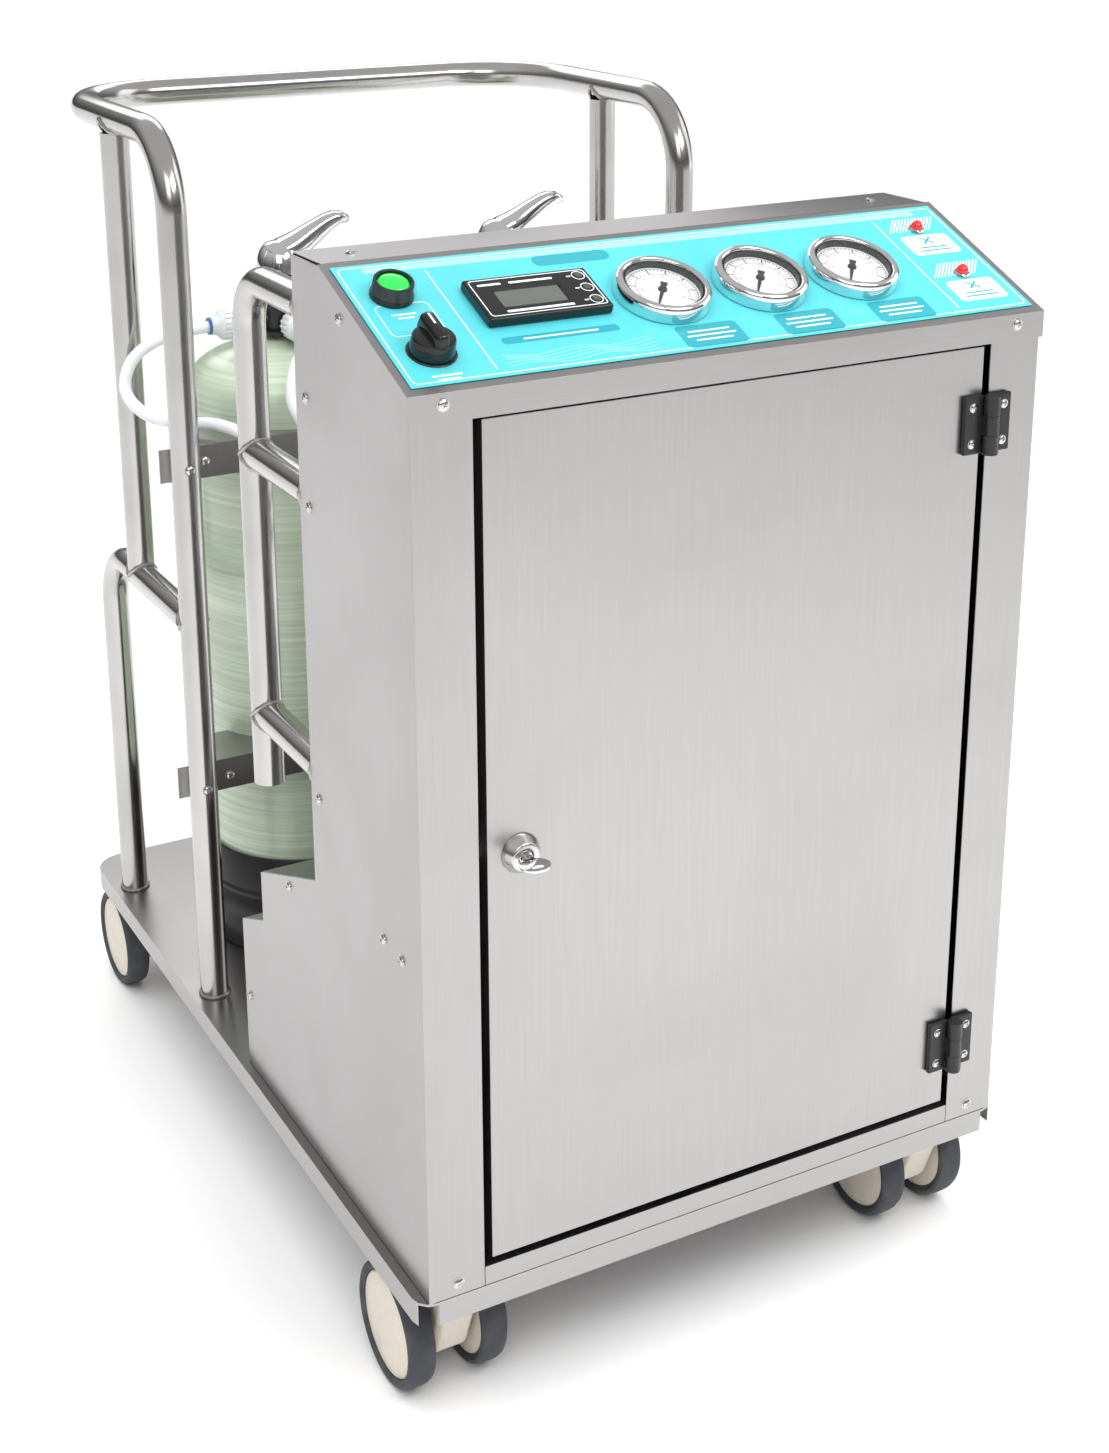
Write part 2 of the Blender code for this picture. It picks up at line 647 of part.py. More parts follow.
def bottom_rail():
    """The rail below the door, with its top edge folded inwards."""
    half = OPENING_HALF - GAP
    front = block(at(-half, 0, GAP), at(half, SHEET, RAIL_HEIGHT))
    shelf = block(at(-half, SHEET / 2, RAIL_HEIGHT - SHEET), at(half, RAIL_RETURN, RAIL_HEIGHT))
    part(join(front, shelf), "bottom_rail", brushed())


def console_face():
    """An empty on the console's front edge: its X runs across, its Y up the slope, its Z outwards."""
    return empty("console_face", at(0, -LID_PROUD, LID_FRONT_Z), (SLOPE, 0, 0))


def console_cuts(clearance):
    """The holes for what is mounted in the console, in the console's own axes."""
    deep = 0.060
    holes = [rod(BUTTON_SEAT_R - 0.003 + clearance, deep, 24, "Z", (*BUTTON_UV, 0)),
             rod(SELECTOR_SPINDLE_R + clearance, deep, 24, "Z", (*SELECTOR_UV, 0))]
    half = [size / 2 + clearance for size in METER_CASE]
    u, v = METER_UV
    holes.append(block((u - half[0], v - half[1], -deep / 2), (u + half[0], v + half[1], deep / 2)))
    holes += [rod(GAUGE_BODY_R + clearance, deep, 28, "Z", (u, GAUGE_V, 0)) for u in GAUGE_U]
    holes += [rod(LAMP_R - 0.002 + clearance, deep, 16, "Z", (*uv, 0)) for uv in LAMP_UV]
    return holes


def console_lid(face):
    """The console's folded lid: the sloped panel, the front lip and the two side skirts."""
    half = HALF_CAB + GAP + SHEET
    length = (LID_TOP_Y + LID_PROUD) / math.cos(SLOPE)
    lip = LID_LIP
    lean = Vector((0, -math.sin(SLOPE), -math.cos(SLOPE))) * lip

    def fill(bm):
        top = [bm.verts.new(p) for p in ((-half, 0, 0), (half, 0, 0), (half, length, 0), (-half, length, 0))]
        bm.faces.new(top)
        low = [bm.verts.new(top[0].co + lean), bm.verts.new(top[1].co + lean)]
        bm.faces.new((top[1], top[0], low[0], low[1]))
        for side, near, far, lip_vert in ((1, top[1], top[2], low[1]), (-1, top[0], top[3], low[0])):
            hem = bm.verts.new((side * half, length, -LID_SKIRT))
            corner = bm.verts.new((side * half, 0.012, -LID_SKIRT))
            ring = (near, lip_vert, corner, hem, far)
            bm.faces.new(ring if side > 0 else tuple(reversed(ring)))
        bmesh.ops.recalc_face_normals(bm, faces=bm.faces)
    lid = mesh_object("lid", fill)
    solidify(lid, SHEET)
    for hole in console_cuts(GAP):
        cut(lid, hole)
    part(lid, "console_lid", brushed(), face)


def console_overlay(face):
    """The printed foil on the lid."""
    low = GAP
    sheet = block((-OVERLAY_HALF, OVERLAY_V[0], low), (OVERLAY_HALF, OVERLAY_V[1], low + OVERLAY_THICK))
    for hole in console_cuts(GAP):
        cut(sheet, hole)
    part(sheet, "console_overlay", material("overlay_turquoise", (0.10, 0.78, 0.82), 0.35), face)


def door():
    """A folded door: a flat front with its edges turned in."""
    low, high = at(-DOOR_HALF, 0, DOOR_BOTTOM_Z), at(DOOR_HALF, DOOR_DEPTH, DOOR_TOP_Z)

    def fill(bm):
        size = high - low
        place = Matrix.Translation((low + high) / 2) @ Matrix.Diagonal((*size, 1))
        bmesh.ops.create_cube(bm, size=1, matrix=place)
        back = max(bm.faces, key=lambda f: f.calc_center_median().y)
        bmesh.ops.delete(bm, geom=[back], context="FACES")
    leaf = mesh_object("door", fill)
    solidify(leaf, SHEET)
    lock_x, lock_y, lock_z = lock_place()
    cut(leaf, rod(LOCK_BARREL_R + GAP, 0.03, 24, "Y", (lock_x, lock_y, lock_z)))
    part(leaf, "door", brushed())


def lock_place():
    return at(-DOOR_HALF + LOCK_FROM_EDGE, 0, LOCK_Z)


def door_lock():
    """The cam lock: a conical housing in the door, and the plug with its key and cam."""
    place = lock_place()
    housing = empty("lock_axis", place, (math.pi / 2, 0, 0))
    front = GAP
    shell = [(PLUG_R + GAP, LOCK_PROUD), (LOCK_R * 0.72, LOCK_PROUD), (LOCK_R, front),
             (LOCK_BARREL_R, front), (LOCK_BARREL_R, -0.020), (PLUG_R + GAP, -0.020)]
    part(turned(shell, 24, closed=True), "lock_housing", chrome(), housing)

    plug = turned([(0, LOCK_PROUD), (PLUG_R, LOCK_PROUD), (PLUG_R, -0.024), (0, -0.024)], 20)
    blade = block((-0.0038, -0.0009, LOCK_PROUD - 0.002), (0.0038, 0.0009, KEY_REACH - KEY_BOW_R))
    bow = slab(arc((0, 0), KEY_BOW_R, 0, 342, 18), 0.0018, bow_matrix())
    cam = block((-CAM_LENGTH, -0.007, -0.0235), (0.006, 0.007, -0.0210))
    part(join(plug, blade, bow, cam), "lock_plug_and_key", chrome(), housing)


def bow_matrix():
    """The key's bow: a level disc whose front edge is the key's full reach."""
    return Matrix.Translation((0, 0, KEY_REACH - KEY_BOW_R)) @ Matrix.Rotation(math.pi / 2, 4, "X")


def hinge(name, centre_z):
    """A moulded hinge: a leaf on the stile with the outer knuckles and pin, and a leaf on the door."""
    axis = at(HINGE_X, HINGE_AXIS_Y, centre_z)
    pivot = empty("hinge_" + name, axis)
    third = HINGE_HEIGHT / 3
    plate_back, plate_front = -HINGE_AXIS_Y - GAP, -HINGE_AXIS_Y - GAP - HINGE_LEAF
    half = HINGE_HEIGHT / 2

    def leaf(side, knuckle_spans):
        edges = sorted((side * 0.0035, side * HINGE_LEAF_REACH))
        plate = block((edges[0], plate_front, -half), (edges[1], plate_back, half))
        bevel(plate, 0.0012)
        for low, high in knuckle_spans:
            barrel = rod(HINGE_KNUCKLE_R, high - low, 14, "Z", (0, 0, (low + high) / 2))
            web = sorted((side * 0.001, side * 0.006))
            bridge = block((web[0], -0.003, low), (web[1], plate_back - 0.001, high))
            join(plate, barrel, bridge)
        return plate

    def clearance(low, high):
        return rod(HINGE_KNUCKLE_R + 2 * GAP, high - low, 14, "Z", (0, 0, (low + high) / 2))

    frame_leaf = leaf(1, ((-half, -third / 2 - GAP), (third / 2 + GAP, half)))
    notch = clearance(-third / 2 - GAP, third / 2 + GAP)
    pin = rod(HINGE_PIN_R, HINGE_HEIGHT * 0.96, 16, "Z")
    cut(frame_leaf, notch)
    join(frame_leaf, pin)
    part(frame_leaf, "hinge_frame_leaf_" + name, black(), pivot)

    door_leaf = leaf(-1, ((-third / 2, third / 2),))
    for span in ((-half - GAP, -third / 2), (third / 2, half + GAP)):
        cut(door_leaf, clearance(*span))
    bore = rod(HINGE_PIN_R + GAP, HINGE_HEIGHT, 16, "Z")
    cut(door_leaf, bore)
    part(door_leaf, "hinge_door_leaf_" + name, black(), pivot)


# ---------------------------------------------------------------- what the console carries
def on_console(face, name, uv):
    spot = empty(name, (*uv, OVERLAY_THICK + 2 * GAP))
    spot.parent = face
    return spot


def start_button(face):
    """The lit push button in its black seat, inside a raised rim."""
    spot = on_console(face, "button_axis", BUTTON_UV)
    rim = BUTTON_R + GAP
    seat = [(rim, 0.013), (BUTTON_SEAT_R, 0.013), (BUTTON_SEAT_R, 0.003), (BUTTON_SEAT_R + 0.004, 0.002),
            (BUTTON_SEAT_R + 0.004, 0), (BUTTON_SEAT_R - 0.003, 0), (BUTTON_SEAT_R - 0.003, -0.030),
            (0.004, -0.030), (0.004, 0.0005), (rim, 0.0005)]
    part(turned(seat, 20, closed=True), "start_button_seat", black(), spot)
    base = 0.0005 + GAP + BUTTON_TRAVEL
    cap = [(0, base + 0.0085), (BUTTON_R - 0.002, base + 0.008), (BUTTON_R, base + 0.006),
           (BUTTON_R, base), (0, base)]
    part(turned(cap, 20), "start_button_cap", material("button_green", (0.03, 0.62, 0.10), 0.3), spot)


def selector(face):
    """The rotary switch: its knob, with a grip across it and a spindle into the console."""
    spot = on_console(face, "selector_axis", SELECTOR_UV)
    lift = 0.001
    knob = turned([(0, lift + 0.012), (SELECTOR_R - 0.002, lift + 0.012), (SELECTOR_R, lift + 0.010),
                   (SELECTOR_R, lift), (SELECTOR_SPINDLE_R, lift), (SELECTOR_SPINDLE_R, -0.030), (0, -0.030)], 24)
    grip = block((-0.0045, -SELECTOR_R, lift + 0.004), (0.0045, SELECTOR_R + 0.004, lift + 0.026))
    bevel(grip, 0.002)
    part(join(knob, grip), "selector_knob", black(), spot)


def meter(face):
    """The conductivity meter: a panel case with its window and three round keys."""
    spot = on_console(face, "meter_axis", METER_UV)
    half_w, half_h = METER_SIZE[0] / 2, METER_SIZE[1] / 2
    bezel = block((-half_w, -half_h, 0), (half_w, half_h, 0.0075))
    bevel(bezel, 0.0015)
    body = block((-METER_CASE[0] / 2, -METER_CASE[1] / 2, -METER_DEPTH),
                 (METER_CASE[0] / 2, METER_CASE[1] / 2, 0.001))
    window = block((-0.032, -0.012, 0.0066), (0.019, 0.008, 0.02))
    join(bezel, body)
    cut(bezel, window)
    for index, (u, v) in enumerate(((0.0385, 0.0145), (0.0385, 0.0), (0.0385, -0.0145)), 1):
        well = rod(METER_KEY_R + GAP, 0.006, 12, "Z", (u, v, 0.0075))
        cut(bezel, well)
        key = turned([(0, 0.0024), (METER_KEY_R - 0.0008, 0.0023), (METER_KEY_R, 0.0016),
                      (METER_KEY_R, 0), (0, 0)], 12)
        placed(key, (u, v, 0.0045 + GAP + METER_KEY_TRAVEL + 0.0012))
        part(key, f"meter_key_{index}", material("key_grey", (0.12, 0.13, 0.14), 0.5), spot)
    part(bezel, "meter_case", black(), spot)


def gauge(face, index, u):
    """A panel pressure gauge: the steel case with its dial, and the pointer on its staff."""
    spot = on_console(face, f"gauge_axis_{index}", (u, GAUGE_V))
    dial_z = 0.0045
    case = [(GAUGE_R - 0.0065, 0.0112), (GAUGE_R - 0.004, 0.0125), (GAUGE_R - 0.001, 0.010),
            (GAUGE_R, 0.003), (GAUGE_R, 0), (GAUGE_BODY_R, 0), (GAUGE_BODY_R, -GAUGE_DEPTH),
            (0.007, -GAUGE_DEPTH), (0.007, -GAUGE_DEPTH - 0.014), (0.0022, -GAUGE_DEPTH - 0.014),
            (0.0022, dial_z), (GAUGE_R - 0.0065, dial_z)]
    steel = material("gauge_steel", (0.72, 0.72, 0.72), 0.18, 1.0)
    part(turned(case, 22, closed=True), f"gauge_case_{index}", steel, spot)
    half = 0.0013
    shape = [(-half, -0.008), (half, -0.008), (half * 0.9, 0.004), (0.0004, POINTER_LENGTH),
             (-0.0004, POINTER_LENGTH), (-half * 0.9, 0.004)]
    pointer = slab(shape, 0.0008, Matrix.Translation((0, 0, dial_z + 0.0016)))
    hub = rod(0.0036, 0.0022, 16, "Z", (0, 0, dial_z + 0.0018))
    staff = rod(0.0012, 0.010, 12, "Z", (0, 0, dial_z - 0.003))
    join(pointer, hub, staff)
    turn = empty(f"pointer_axis_{index}", (0, 0, 0), (0, 0, -POINTER_REST))
    turn.parent = spot
    part(pointer, f"gauge_pointer_{index}", material("pointer_black", (0.01, 0.01, 0.01), 0.5), turn)


def lamp(face, index, uv):
    """A domed alarm lamp in its bezel."""
    spot = on_console(face, f"lamp_axis_{index}", uv)
    dome = [(0, 0.0075), (0.0025, 0.0070), (0.0042, 0.0052), (0.0048, 0.0030), (LAMP_R, 0.0022),
            (LAMP_R, 0), (LAMP_R - 0.002, 0), (LAMP_R - 0.002, -0.018), (0, -0.018)]
    part(turned(dome, 14), f"alarm_lamp_{index}", material("lamp_red", (0.75, 0.02, 0.02), 0.2), spot)


# ---------------------------------------------------------------- inside the cabinet
def pump_set():
    """The booster pump and its motor, lying on the tray behind the door."""
    y = CAB_DEPTH + 0.030
    z = MOTOR_R + GAP + 0.004
    end = -HALF_CAB + 0.050
    motor = rod(MOTOR_R, MOTOR_LENGTH, 28, "X", at(end + MOTOR_LENGTH / 2, y, z))
    foot = block(at(end + 0.020, y - 0.045, GAP), at(end + MOTOR_LENGTH - 0.020, y + 0.045, 0.030))
    terminal = block(at(end + 0.040, y - 0.030, z + 0.040), at(end + 0.110, y + 0.030, z + MOTOR_R + 0.020))
    paint = material("motor_paint", (0.10, 0.16, 0.24), 0.45)
    part(join(motor, foot, terminal), "pump_motor", paint)
    start = end + MOTOR_LENGTH + GAP
    pump = rod(PUMP_R, PUMP_LENGTH, 28, "X", at(start + PUMP_LENGTH / 2, y, z))
    outlet = rod(0.012, 0.050, 16, "Z", at(start + PUMP_LENGTH - 0.030, y, z + PUMP_R + 0.012))
    part(join(pump, outlet), "booster_pump", material("pump_steel", (0.55, 0.54, 0.52), 0.35, 1.0))


def membrane_vessel():
    """The upright pressure vessel that holds the membrane, with its two end caps."""
    place = empty("vessel_axis", at(VESSEL_X, CAB_DEPTH - SHEET - GAP - VESSEL_R - 0.012, 0))
    low, high = STEP_HEIGHTS[0] - 0.020, STEP_HEIGHTS[0] - 0.020 + VESSEL_LENGTH
    cap = VESSEL_R + 0.005
    profile = [(0, high + 0.004), (0.012, high + 0.004), (0.012, high), (cap, high), (cap, high - 0.030),
               (VESSEL_R, high - 0.032), (VESSEL_R, low + 0.032), (cap, low + 0.030), (cap, low), (0, low)]
    part(turned(profile, 18), "membrane_vessel", white(), place)


def prefilter(x):
    """The sediment filter: a capped bowl."""
    place = empty("filter_axis", at(x, 0.120, 0.300))
    profile = [(0, FILTER_HEIGHT + 0.020), (0.014, FILTER_HEIGHT + 0.020), (0.016, FILTER_HEIGHT),
               (FILTER_R + 0.008, FILTER_HEIGHT), (FILTER_R + 0.008, FILTER_HEIGHT - 0.035),
               (FILTER_R, FILTER_HEIGHT - 0.038), (FILTER_R * 0.92, 0.010), (FILTER_R * 0.6, 0), (0, 0)]
    part(turned(profile, 18), "prefilter_housing", material("filter_blue", (0.10, 0.30, 0.62), 0.25), place)


def control_box():
    """The relay box on the back cover."""
    width, depth, height = CONTROL_BOX
    back = CAB_DEPTH - SHEET - GAP
    box = block(at(-width / 2, back - depth, 0.480), at(width / 2, back, 0.480 + height))
    bevel(box, 0.003)
    part(box, "control_box", material("box_grey", (0.45, 0.46, 0.47), 0.5))


def build():
    clear_scene()
    base_tray()
    for name, (x, y) in castor_places().items():
        castor(name, x, y)
    push_handle()
    for name, side in (("left", -1), ("right", 1)):
        rear_frame(name, side)
        guard_rail(name, side)
        tank(name, side)
        side_panel(name, side)
    for name, low_z in zip(("tank_bracket_lower", "tank_bracket_upper"), BRACKET_HEIGHTS):
        tank_bracket(name, low_z)
    hoses()
    back_cover()
    bottom_rail()
    door()
    door_lock()
    for name, centre_z in zip(("lower", "upper"), HINGE_CENTRES_Z):
        hinge(name, centre_z)
    face = console_face()
    console_lid(face)
    console_overlay(face)
    start_button(face)
    selector(face)
    meter(face)
    for index, u in enumerate(GAUGE_U, 1):
        gauge(face, index, u)
    for index, uv in enumerate(LAMP_UV, 1):
        lamp(face, index, uv)
    pump_set()
    membrane_vessel()
    prefilter(0.115)
    control_box()


build()
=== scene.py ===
"""Looks of a mobile reverse osmosis unit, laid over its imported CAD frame.

Metres, +Z up, +X to the right of a person who faces the door, +Y towards the push handle.
Every place comes from the frame: a node's box, a joint's axis, or the two planes that the
CAD model is measured from, which are the cabinet's front and the tray's top.
"""
import json
import math

import bmesh
import bpy
from bpy.props import FloatProperty, FloatVectorProperty, IntProperty, PointerProperty
from mathutils import Matrix, Vector


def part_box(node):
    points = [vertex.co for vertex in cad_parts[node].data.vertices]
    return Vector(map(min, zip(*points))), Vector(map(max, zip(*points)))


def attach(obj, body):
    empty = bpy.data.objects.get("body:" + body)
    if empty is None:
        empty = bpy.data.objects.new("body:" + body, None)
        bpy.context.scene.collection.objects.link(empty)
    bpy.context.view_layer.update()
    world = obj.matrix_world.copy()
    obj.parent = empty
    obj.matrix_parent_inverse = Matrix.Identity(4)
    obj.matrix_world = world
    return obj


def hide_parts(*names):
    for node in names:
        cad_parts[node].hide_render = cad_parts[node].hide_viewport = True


bl_info = {
    "name": "Reverse osmosis unit looks",
    "version": (1, 0, 0),
    "blender": (4, 5, 0),
    "location": "View3D > Sidebar > Unit",
    "description": "Builds the finishes and the fine detail of a mobile reverse osmosis unit",
    "category": "Object",
}

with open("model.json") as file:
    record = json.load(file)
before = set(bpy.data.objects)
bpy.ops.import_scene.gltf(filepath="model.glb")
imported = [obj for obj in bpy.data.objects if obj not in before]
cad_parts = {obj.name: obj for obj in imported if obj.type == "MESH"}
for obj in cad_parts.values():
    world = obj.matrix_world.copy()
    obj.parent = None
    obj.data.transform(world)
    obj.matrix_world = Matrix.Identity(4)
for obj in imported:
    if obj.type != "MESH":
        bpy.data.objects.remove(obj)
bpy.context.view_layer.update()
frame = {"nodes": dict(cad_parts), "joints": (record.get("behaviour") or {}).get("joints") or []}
JOINTS = {joint["name"]: joint for joint in frame["joints"]}

FRONT_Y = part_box("bottom_rail")[0].y
TRAY_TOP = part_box("base_tray")[1].z
X_AXIS = Vector((1, 0, 0))
Y_AXIS = Vector((0, 1, 0))
Z_AXIS = Vector((0, 0, 1))

# The console's own face: u runs across from its middle, v up the slope, w outwards
SELECTOR_V = 0.042
ON_FOIL = 0.001                    # how far what sits on the foil is from the lid
FOIL_TOP = 0.0007
CONSOLE_OUT = -Vector(JOINTS["selector_turn"]["axis"]).normalized()
CONSOLE_UP = Vector((0, CONSOLE_OUT.z, -CONSOLE_OUT.y))
CONSOLE_FOOT = (Vector(JOINTS["selector_turn"]["pos_m"]) * Vector((0, 1, 1))
                - CONSOLE_UP * SELECTOR_V - CONSOLE_OUT * ON_FOIL)

# Sizes shared with the CAD model
LEG_X = 0.247
LEG_Y = 0.490
HANDLE_Z = 0.790
HANDLE_REAR_Y = 0.800
HANDLE_BEND = 0.065
HANDLE_CORNER = 0.095
POST_Y = 0.635
REAR_LEG_Y = 0.726
REAR_BAR_Z = 0.366
REAR_BEND = 0.055
GUARD_Y = 0.318
GUARD_TOP_Z = 0.706
GUARD_END_Z = 0.286
GUARD_BEND = 0.040
GUARD_STRUTS_Z = (0.346, 0.566)
CAB_DEPTH = 0.194
HALF_CAB = 0.260
TANK_X = 0.112
TANK_Y = 0.598
PORT_REACH = 0.0458
PORT_Z = 0.603
COVER_SCREWS_Z = (0.30, 0.42)      # clear of the hand rails' struts
GAP = 0.0003


def at(x, y, z):
    """A place measured from the cabinet's front plane and the tray's top face."""
    return Vector((x, FRONT_Y + y, TRAY_TOP + z))


def facing(point, out, up=None):
    """A matrix at a point whose Z looks along `out` and whose Y leans towards `up`."""
    z = Vector(out).normalized()
    y = Vector(up) if up else (Z_AXIS if abs(z.z) < 0.9 else Y_AXIS)
    x = y.cross(z).normalized()
    y = z.cross(x)
    turn = Matrix((x, y, z)).transposed().to_4x4()
    return Matrix.Translation(point) @ turn


def on_console(u, v, w=ON_FOIL):
    """A matrix on the console: its X runs across, its Y up the slope, its Z outwards."""
    point = CONSOLE_FOOT + X_AXIS * u + CONSOLE_UP * v + CONSOLE_OUT * w
    return facing(point, CONSOLE_OUT, CONSOLE_UP)


# ---------------------------------------------------------------- settings
class UnitSettings(bpy.types.PropertyGroup):
    """Sizes and colours that a user may change before the pieces are built."""
    tube_radius: FloatProperty(
        name="Tube radius", description="Outer radius of the trolley's tubes",
        default=0.0127, unit="LENGTH")
    tube_sides: IntProperty(
        name="Tube sides", description="Sides of a tube's cross-section", default=36, min=12)
    turn_steps: IntProperty(
        name="Turning steps", description="Steps round a turned piece", default=72, min=16)
    screw_radius: FloatProperty(
        name="Screw head radius", description="Radius of the pan heads on the sheets",
        default=0.0046, unit="LENGTH")
    weld_radius: FloatProperty(
        name="Weld bead radius", description="Half the width of a weld bead",
        default=0.0019, unit="LENGTH")
    edge_radius: FloatProperty(
        name="Sheet edge radius", description="Rounding of folded and cut sheet edges",
        default=0.0007, unit="LENGTH")
    steel_light: FloatVectorProperty(
        name="Steel, light", description="Light tone of the brushed sheet",
        default=(0.47, 0.455, 0.455), subtype="COLOR")
    steel_dark: FloatVectorProperty(
        name="Steel, dark", description="Dark tone of the brushed sheet",
        default=(0.41, 0.397, 0.397), subtype="COLOR")
    foil: FloatVectorProperty(
        name="Foil", description="Ground colour of the console's foil",
        default=(0.085, 0.56, 0.62), subtype="COLOR")
    foil_dark: FloatVectorProperty(
        name="Foil, dark", description="Colour of the foil's label fields",
        default=(0.02, 0.34, 0.41), subtype="COLOR")
    cream: FloatVectorProperty(
        name="Castor body", description="Colour of the castors' housings and discs",
        default=(0.74, 0.68, 0.58), subtype="COLOR")
    resin: FloatVectorProperty(
        name="Tank resin", description="Colour of the wound tanks",
        default=(0.52, 0.62, 0.47), subtype="COLOR")
    lamp: FloatVectorProperty(
        name="Alarm lamp", description="Colour of the alarm lamps' domes",
        default=(0.72, 0.012, 0.012), subtype="COLOR")
    button: FloatVectorProperty(
        name="Start button", description="Colour of the start button's lens",
        default=(0.01, 0.55, 0.06), subtype="COLOR")
    light_power: FloatProperty(
        name="Light power", description="Scales every studio light", default=1.0, min=0.0)


def settings():
    return bpy.context.scene.unit_looks


# ---------------------------------------------------------------- shader nodes
class Socket:
    """A node's output that adds Math nodes when it is used in an expression."""

    def __init__(self, finish, socket):
        self.finish = finish
        self.socket = socket

    def math(self, operation, first, second):
        return self.finish.node("Math", {"operation": operation}, {0: first, 1: second})

    def __add__(self, other):
        return self.math("ADD", self, other)

    def __radd__(self, other):
        return self.math("ADD", other, self)

    def __sub__(self, other):
        return self.math("SUBTRACT", self, other)

    def __rsub__(self, other):
        return self.math("SUBTRACT", other, self)

    def __mul__(self, other):
        return self.math("MULTIPLY", self, other)

    def __rmul__(self, other):
        return self.math("MULTIPLY", other, self)

    def __pow__(self, other):
        return self.math("POWER", self, other)


class Finish:
    """A material, its Principled shader and the nodes that feed it."""

    def __init__(self, name, **constants):
        self.material = bpy.data.materials.new(name)
        self.material.use_nodes = True
        self.tree = self.material.node_tree
        self.shader = self.tree.nodes["Principled BSDF"]
        for label, value in constants.items():
            self.shader.inputs[label.replace("_", " ")].default_value = value
        self.place = self.node("TexCoord", {}, {}, "Object")

    def node(self, kind, setup, values, out=0):
        """Add a node: its own settings first, then the values or links of its sockets."""
        made = self.tree.nodes.new("ShaderNode" + kind)
        for key, value in setup.items():
            if key == "stops":
                while len(made.color_ramp.elements) < len(value):
                    made.color_ramp.elements.new(1)
                for element, (position, colour) in zip(made.color_ramp.elements, value):
                    element.position = position
                    element.color = (*colour, 1)
            else:
                setattr(made, key, value)
        for key, value in values.items():
            self.put(made.inputs[key], value)
        return Socket(self, made.outputs[out])

    def put(self, target, value):
        if isinstance(value, Socket):
            self.tree.links.new(value.socket, target)
        elif target.type == "RGBA" and len(value) == 3:
            target.default_value = (*value, 1)
        else:
            target.default_value = value

    def set(self, label, value):
        self.put(self.shader.inputs[label], value)

    def noise(self, scale, stretch=(1, 1, 1), detail=3.0, distortion=0.0):
        vector = self.node("VectorMath", {"operation": "MULTIPLY"}, {0: self.place, 1: stretch})
        return self.node("TexNoise", {}, {"Vector": vector, "Scale": scale, "Detail": detail,
                                          "Distortion": distortion})

    def mix(self, factor, first, second, blend="MIX"):
        setup = {"data_type": "RGBA", "blend_type": blend, "clamp_factor": True}
        return self.node("Mix", setup, {0: factor, 6: first, 7: second}, 2)

    def span(self, value, low, high, to_low=0.0, to_high=1.0):
        return self.node("MapRange", {"clamp": True}, {
            "Value": value, "From Min": low, "From Max": high, "To Min": to_low, "To Max": to_high})

    def along(self, axis):
        return self.node("SeparateXYZ", {}, {"Vector": self.place}, axis)

    def bump(self, height, strength, distance):
        self.set("Normal", self.node("Bump", {}, {
            "Height": height, "Strength": strength, "Distance": distance}, "Normal"))


MADE = {}


def finish(maker, *extra):
    """The material that a maker gives, made once for each set of arguments."""
    key = (maker.__name__, *extra)
    if key not in MADE:
        MADE[key] = maker(*extra).material
    return MADE[key]


GRAINS = {"X": (9, 900, 900), "Y": (900, 9, 900), "Z": (900, 900, 9)}


def brushed_sheet(grain):
    """Satin stainless sheet, brushed along one axis, with handling marks."""
    made = Finish("brushed_sheet_" + grain.lower(), Metallic=1.0, Anisotropic=0.35)
    lines = made.noise(1.6, GRAINS[grain], 3.0)
    smudge = made.noise(5.0, (1, 1, 1), 5.0, 0.6)
    tone = made.span(0.8 * lines + 0.2 * smudge, 0.15, 0.85)
    colour = made.mix(tone, settings().steel_dark, settings().steel_light)
    made.set("Base Color", made.mix(made.span(smudge, 0.45, 0.75, 0, 0.14), colour, (0.30, 0.293, 0.28)))
    made.set("Roughness", 0.27 + 0.06 * lines + 0.06 * made.span(smudge, 0.4, 0.7))
    made.bump(lines, 0.03, 0.0001)
    return made


def tube_steel():
    """Polished tube: fine scratches round it and a little cloudiness."""
    made = Finish("tube_steel", Metallic=1.0)
    fine = made.noise(900.0, (1, 1, 0.25), 2.0)
    cloud = made.noise(10.0, (1, 1, 1), 3.0, 0.4)
    made.set("Base Color", made.mix(made.span(cloud, 0.35, 0.7), (0.56, 0.55, 0.54), (0.48, 0.47, 0.46)))
    made.set("Roughness", 0.15 + 0.04 * fine + 0.04 * cloud)
    made.bump(fine, 0.015, 0.0001)
    return made


def weld_metal():
    """Weld bead: ground and pickled, rougher and browner than the tube."""
    made = Finish("weld_metal", Metallic=1.0)
    ripple = made.noise(700.0, (1, 1, 1), 3.0)
    made.set("Base Color", made.mix(ripple, (0.36, 0.33, 0.30), (0.60, 0.58, 0.56)))
    made.set("Roughness", 0.30 + 0.22 * ripple)
    made.bump(ripple, 0.35, 0.0004)
    return made


def chrome(tint):
    """Bright plating with faint wipe marks."""
    made = Finish("chrome_" + tint, Metallic=1.0)
    wipe = made.noise(60.0, (1, 1, 1), 4.0, 0.8)
    light = {"bright": (0.78, 0.78, 0.79), "screw": (0.66, 0.65, 0.64)}[tint]
    low = {"bright": 0.045, "screw": 0.17}[tint]
    made.set("Base Color", made.mix(made.span(wipe, 0.3, 0.8), light, [0.86 * c for c in light]))
    made.set("Roughness", low + 0.07 * wipe)
    made.bump(wipe, 0.02, 0.0003)
    return made


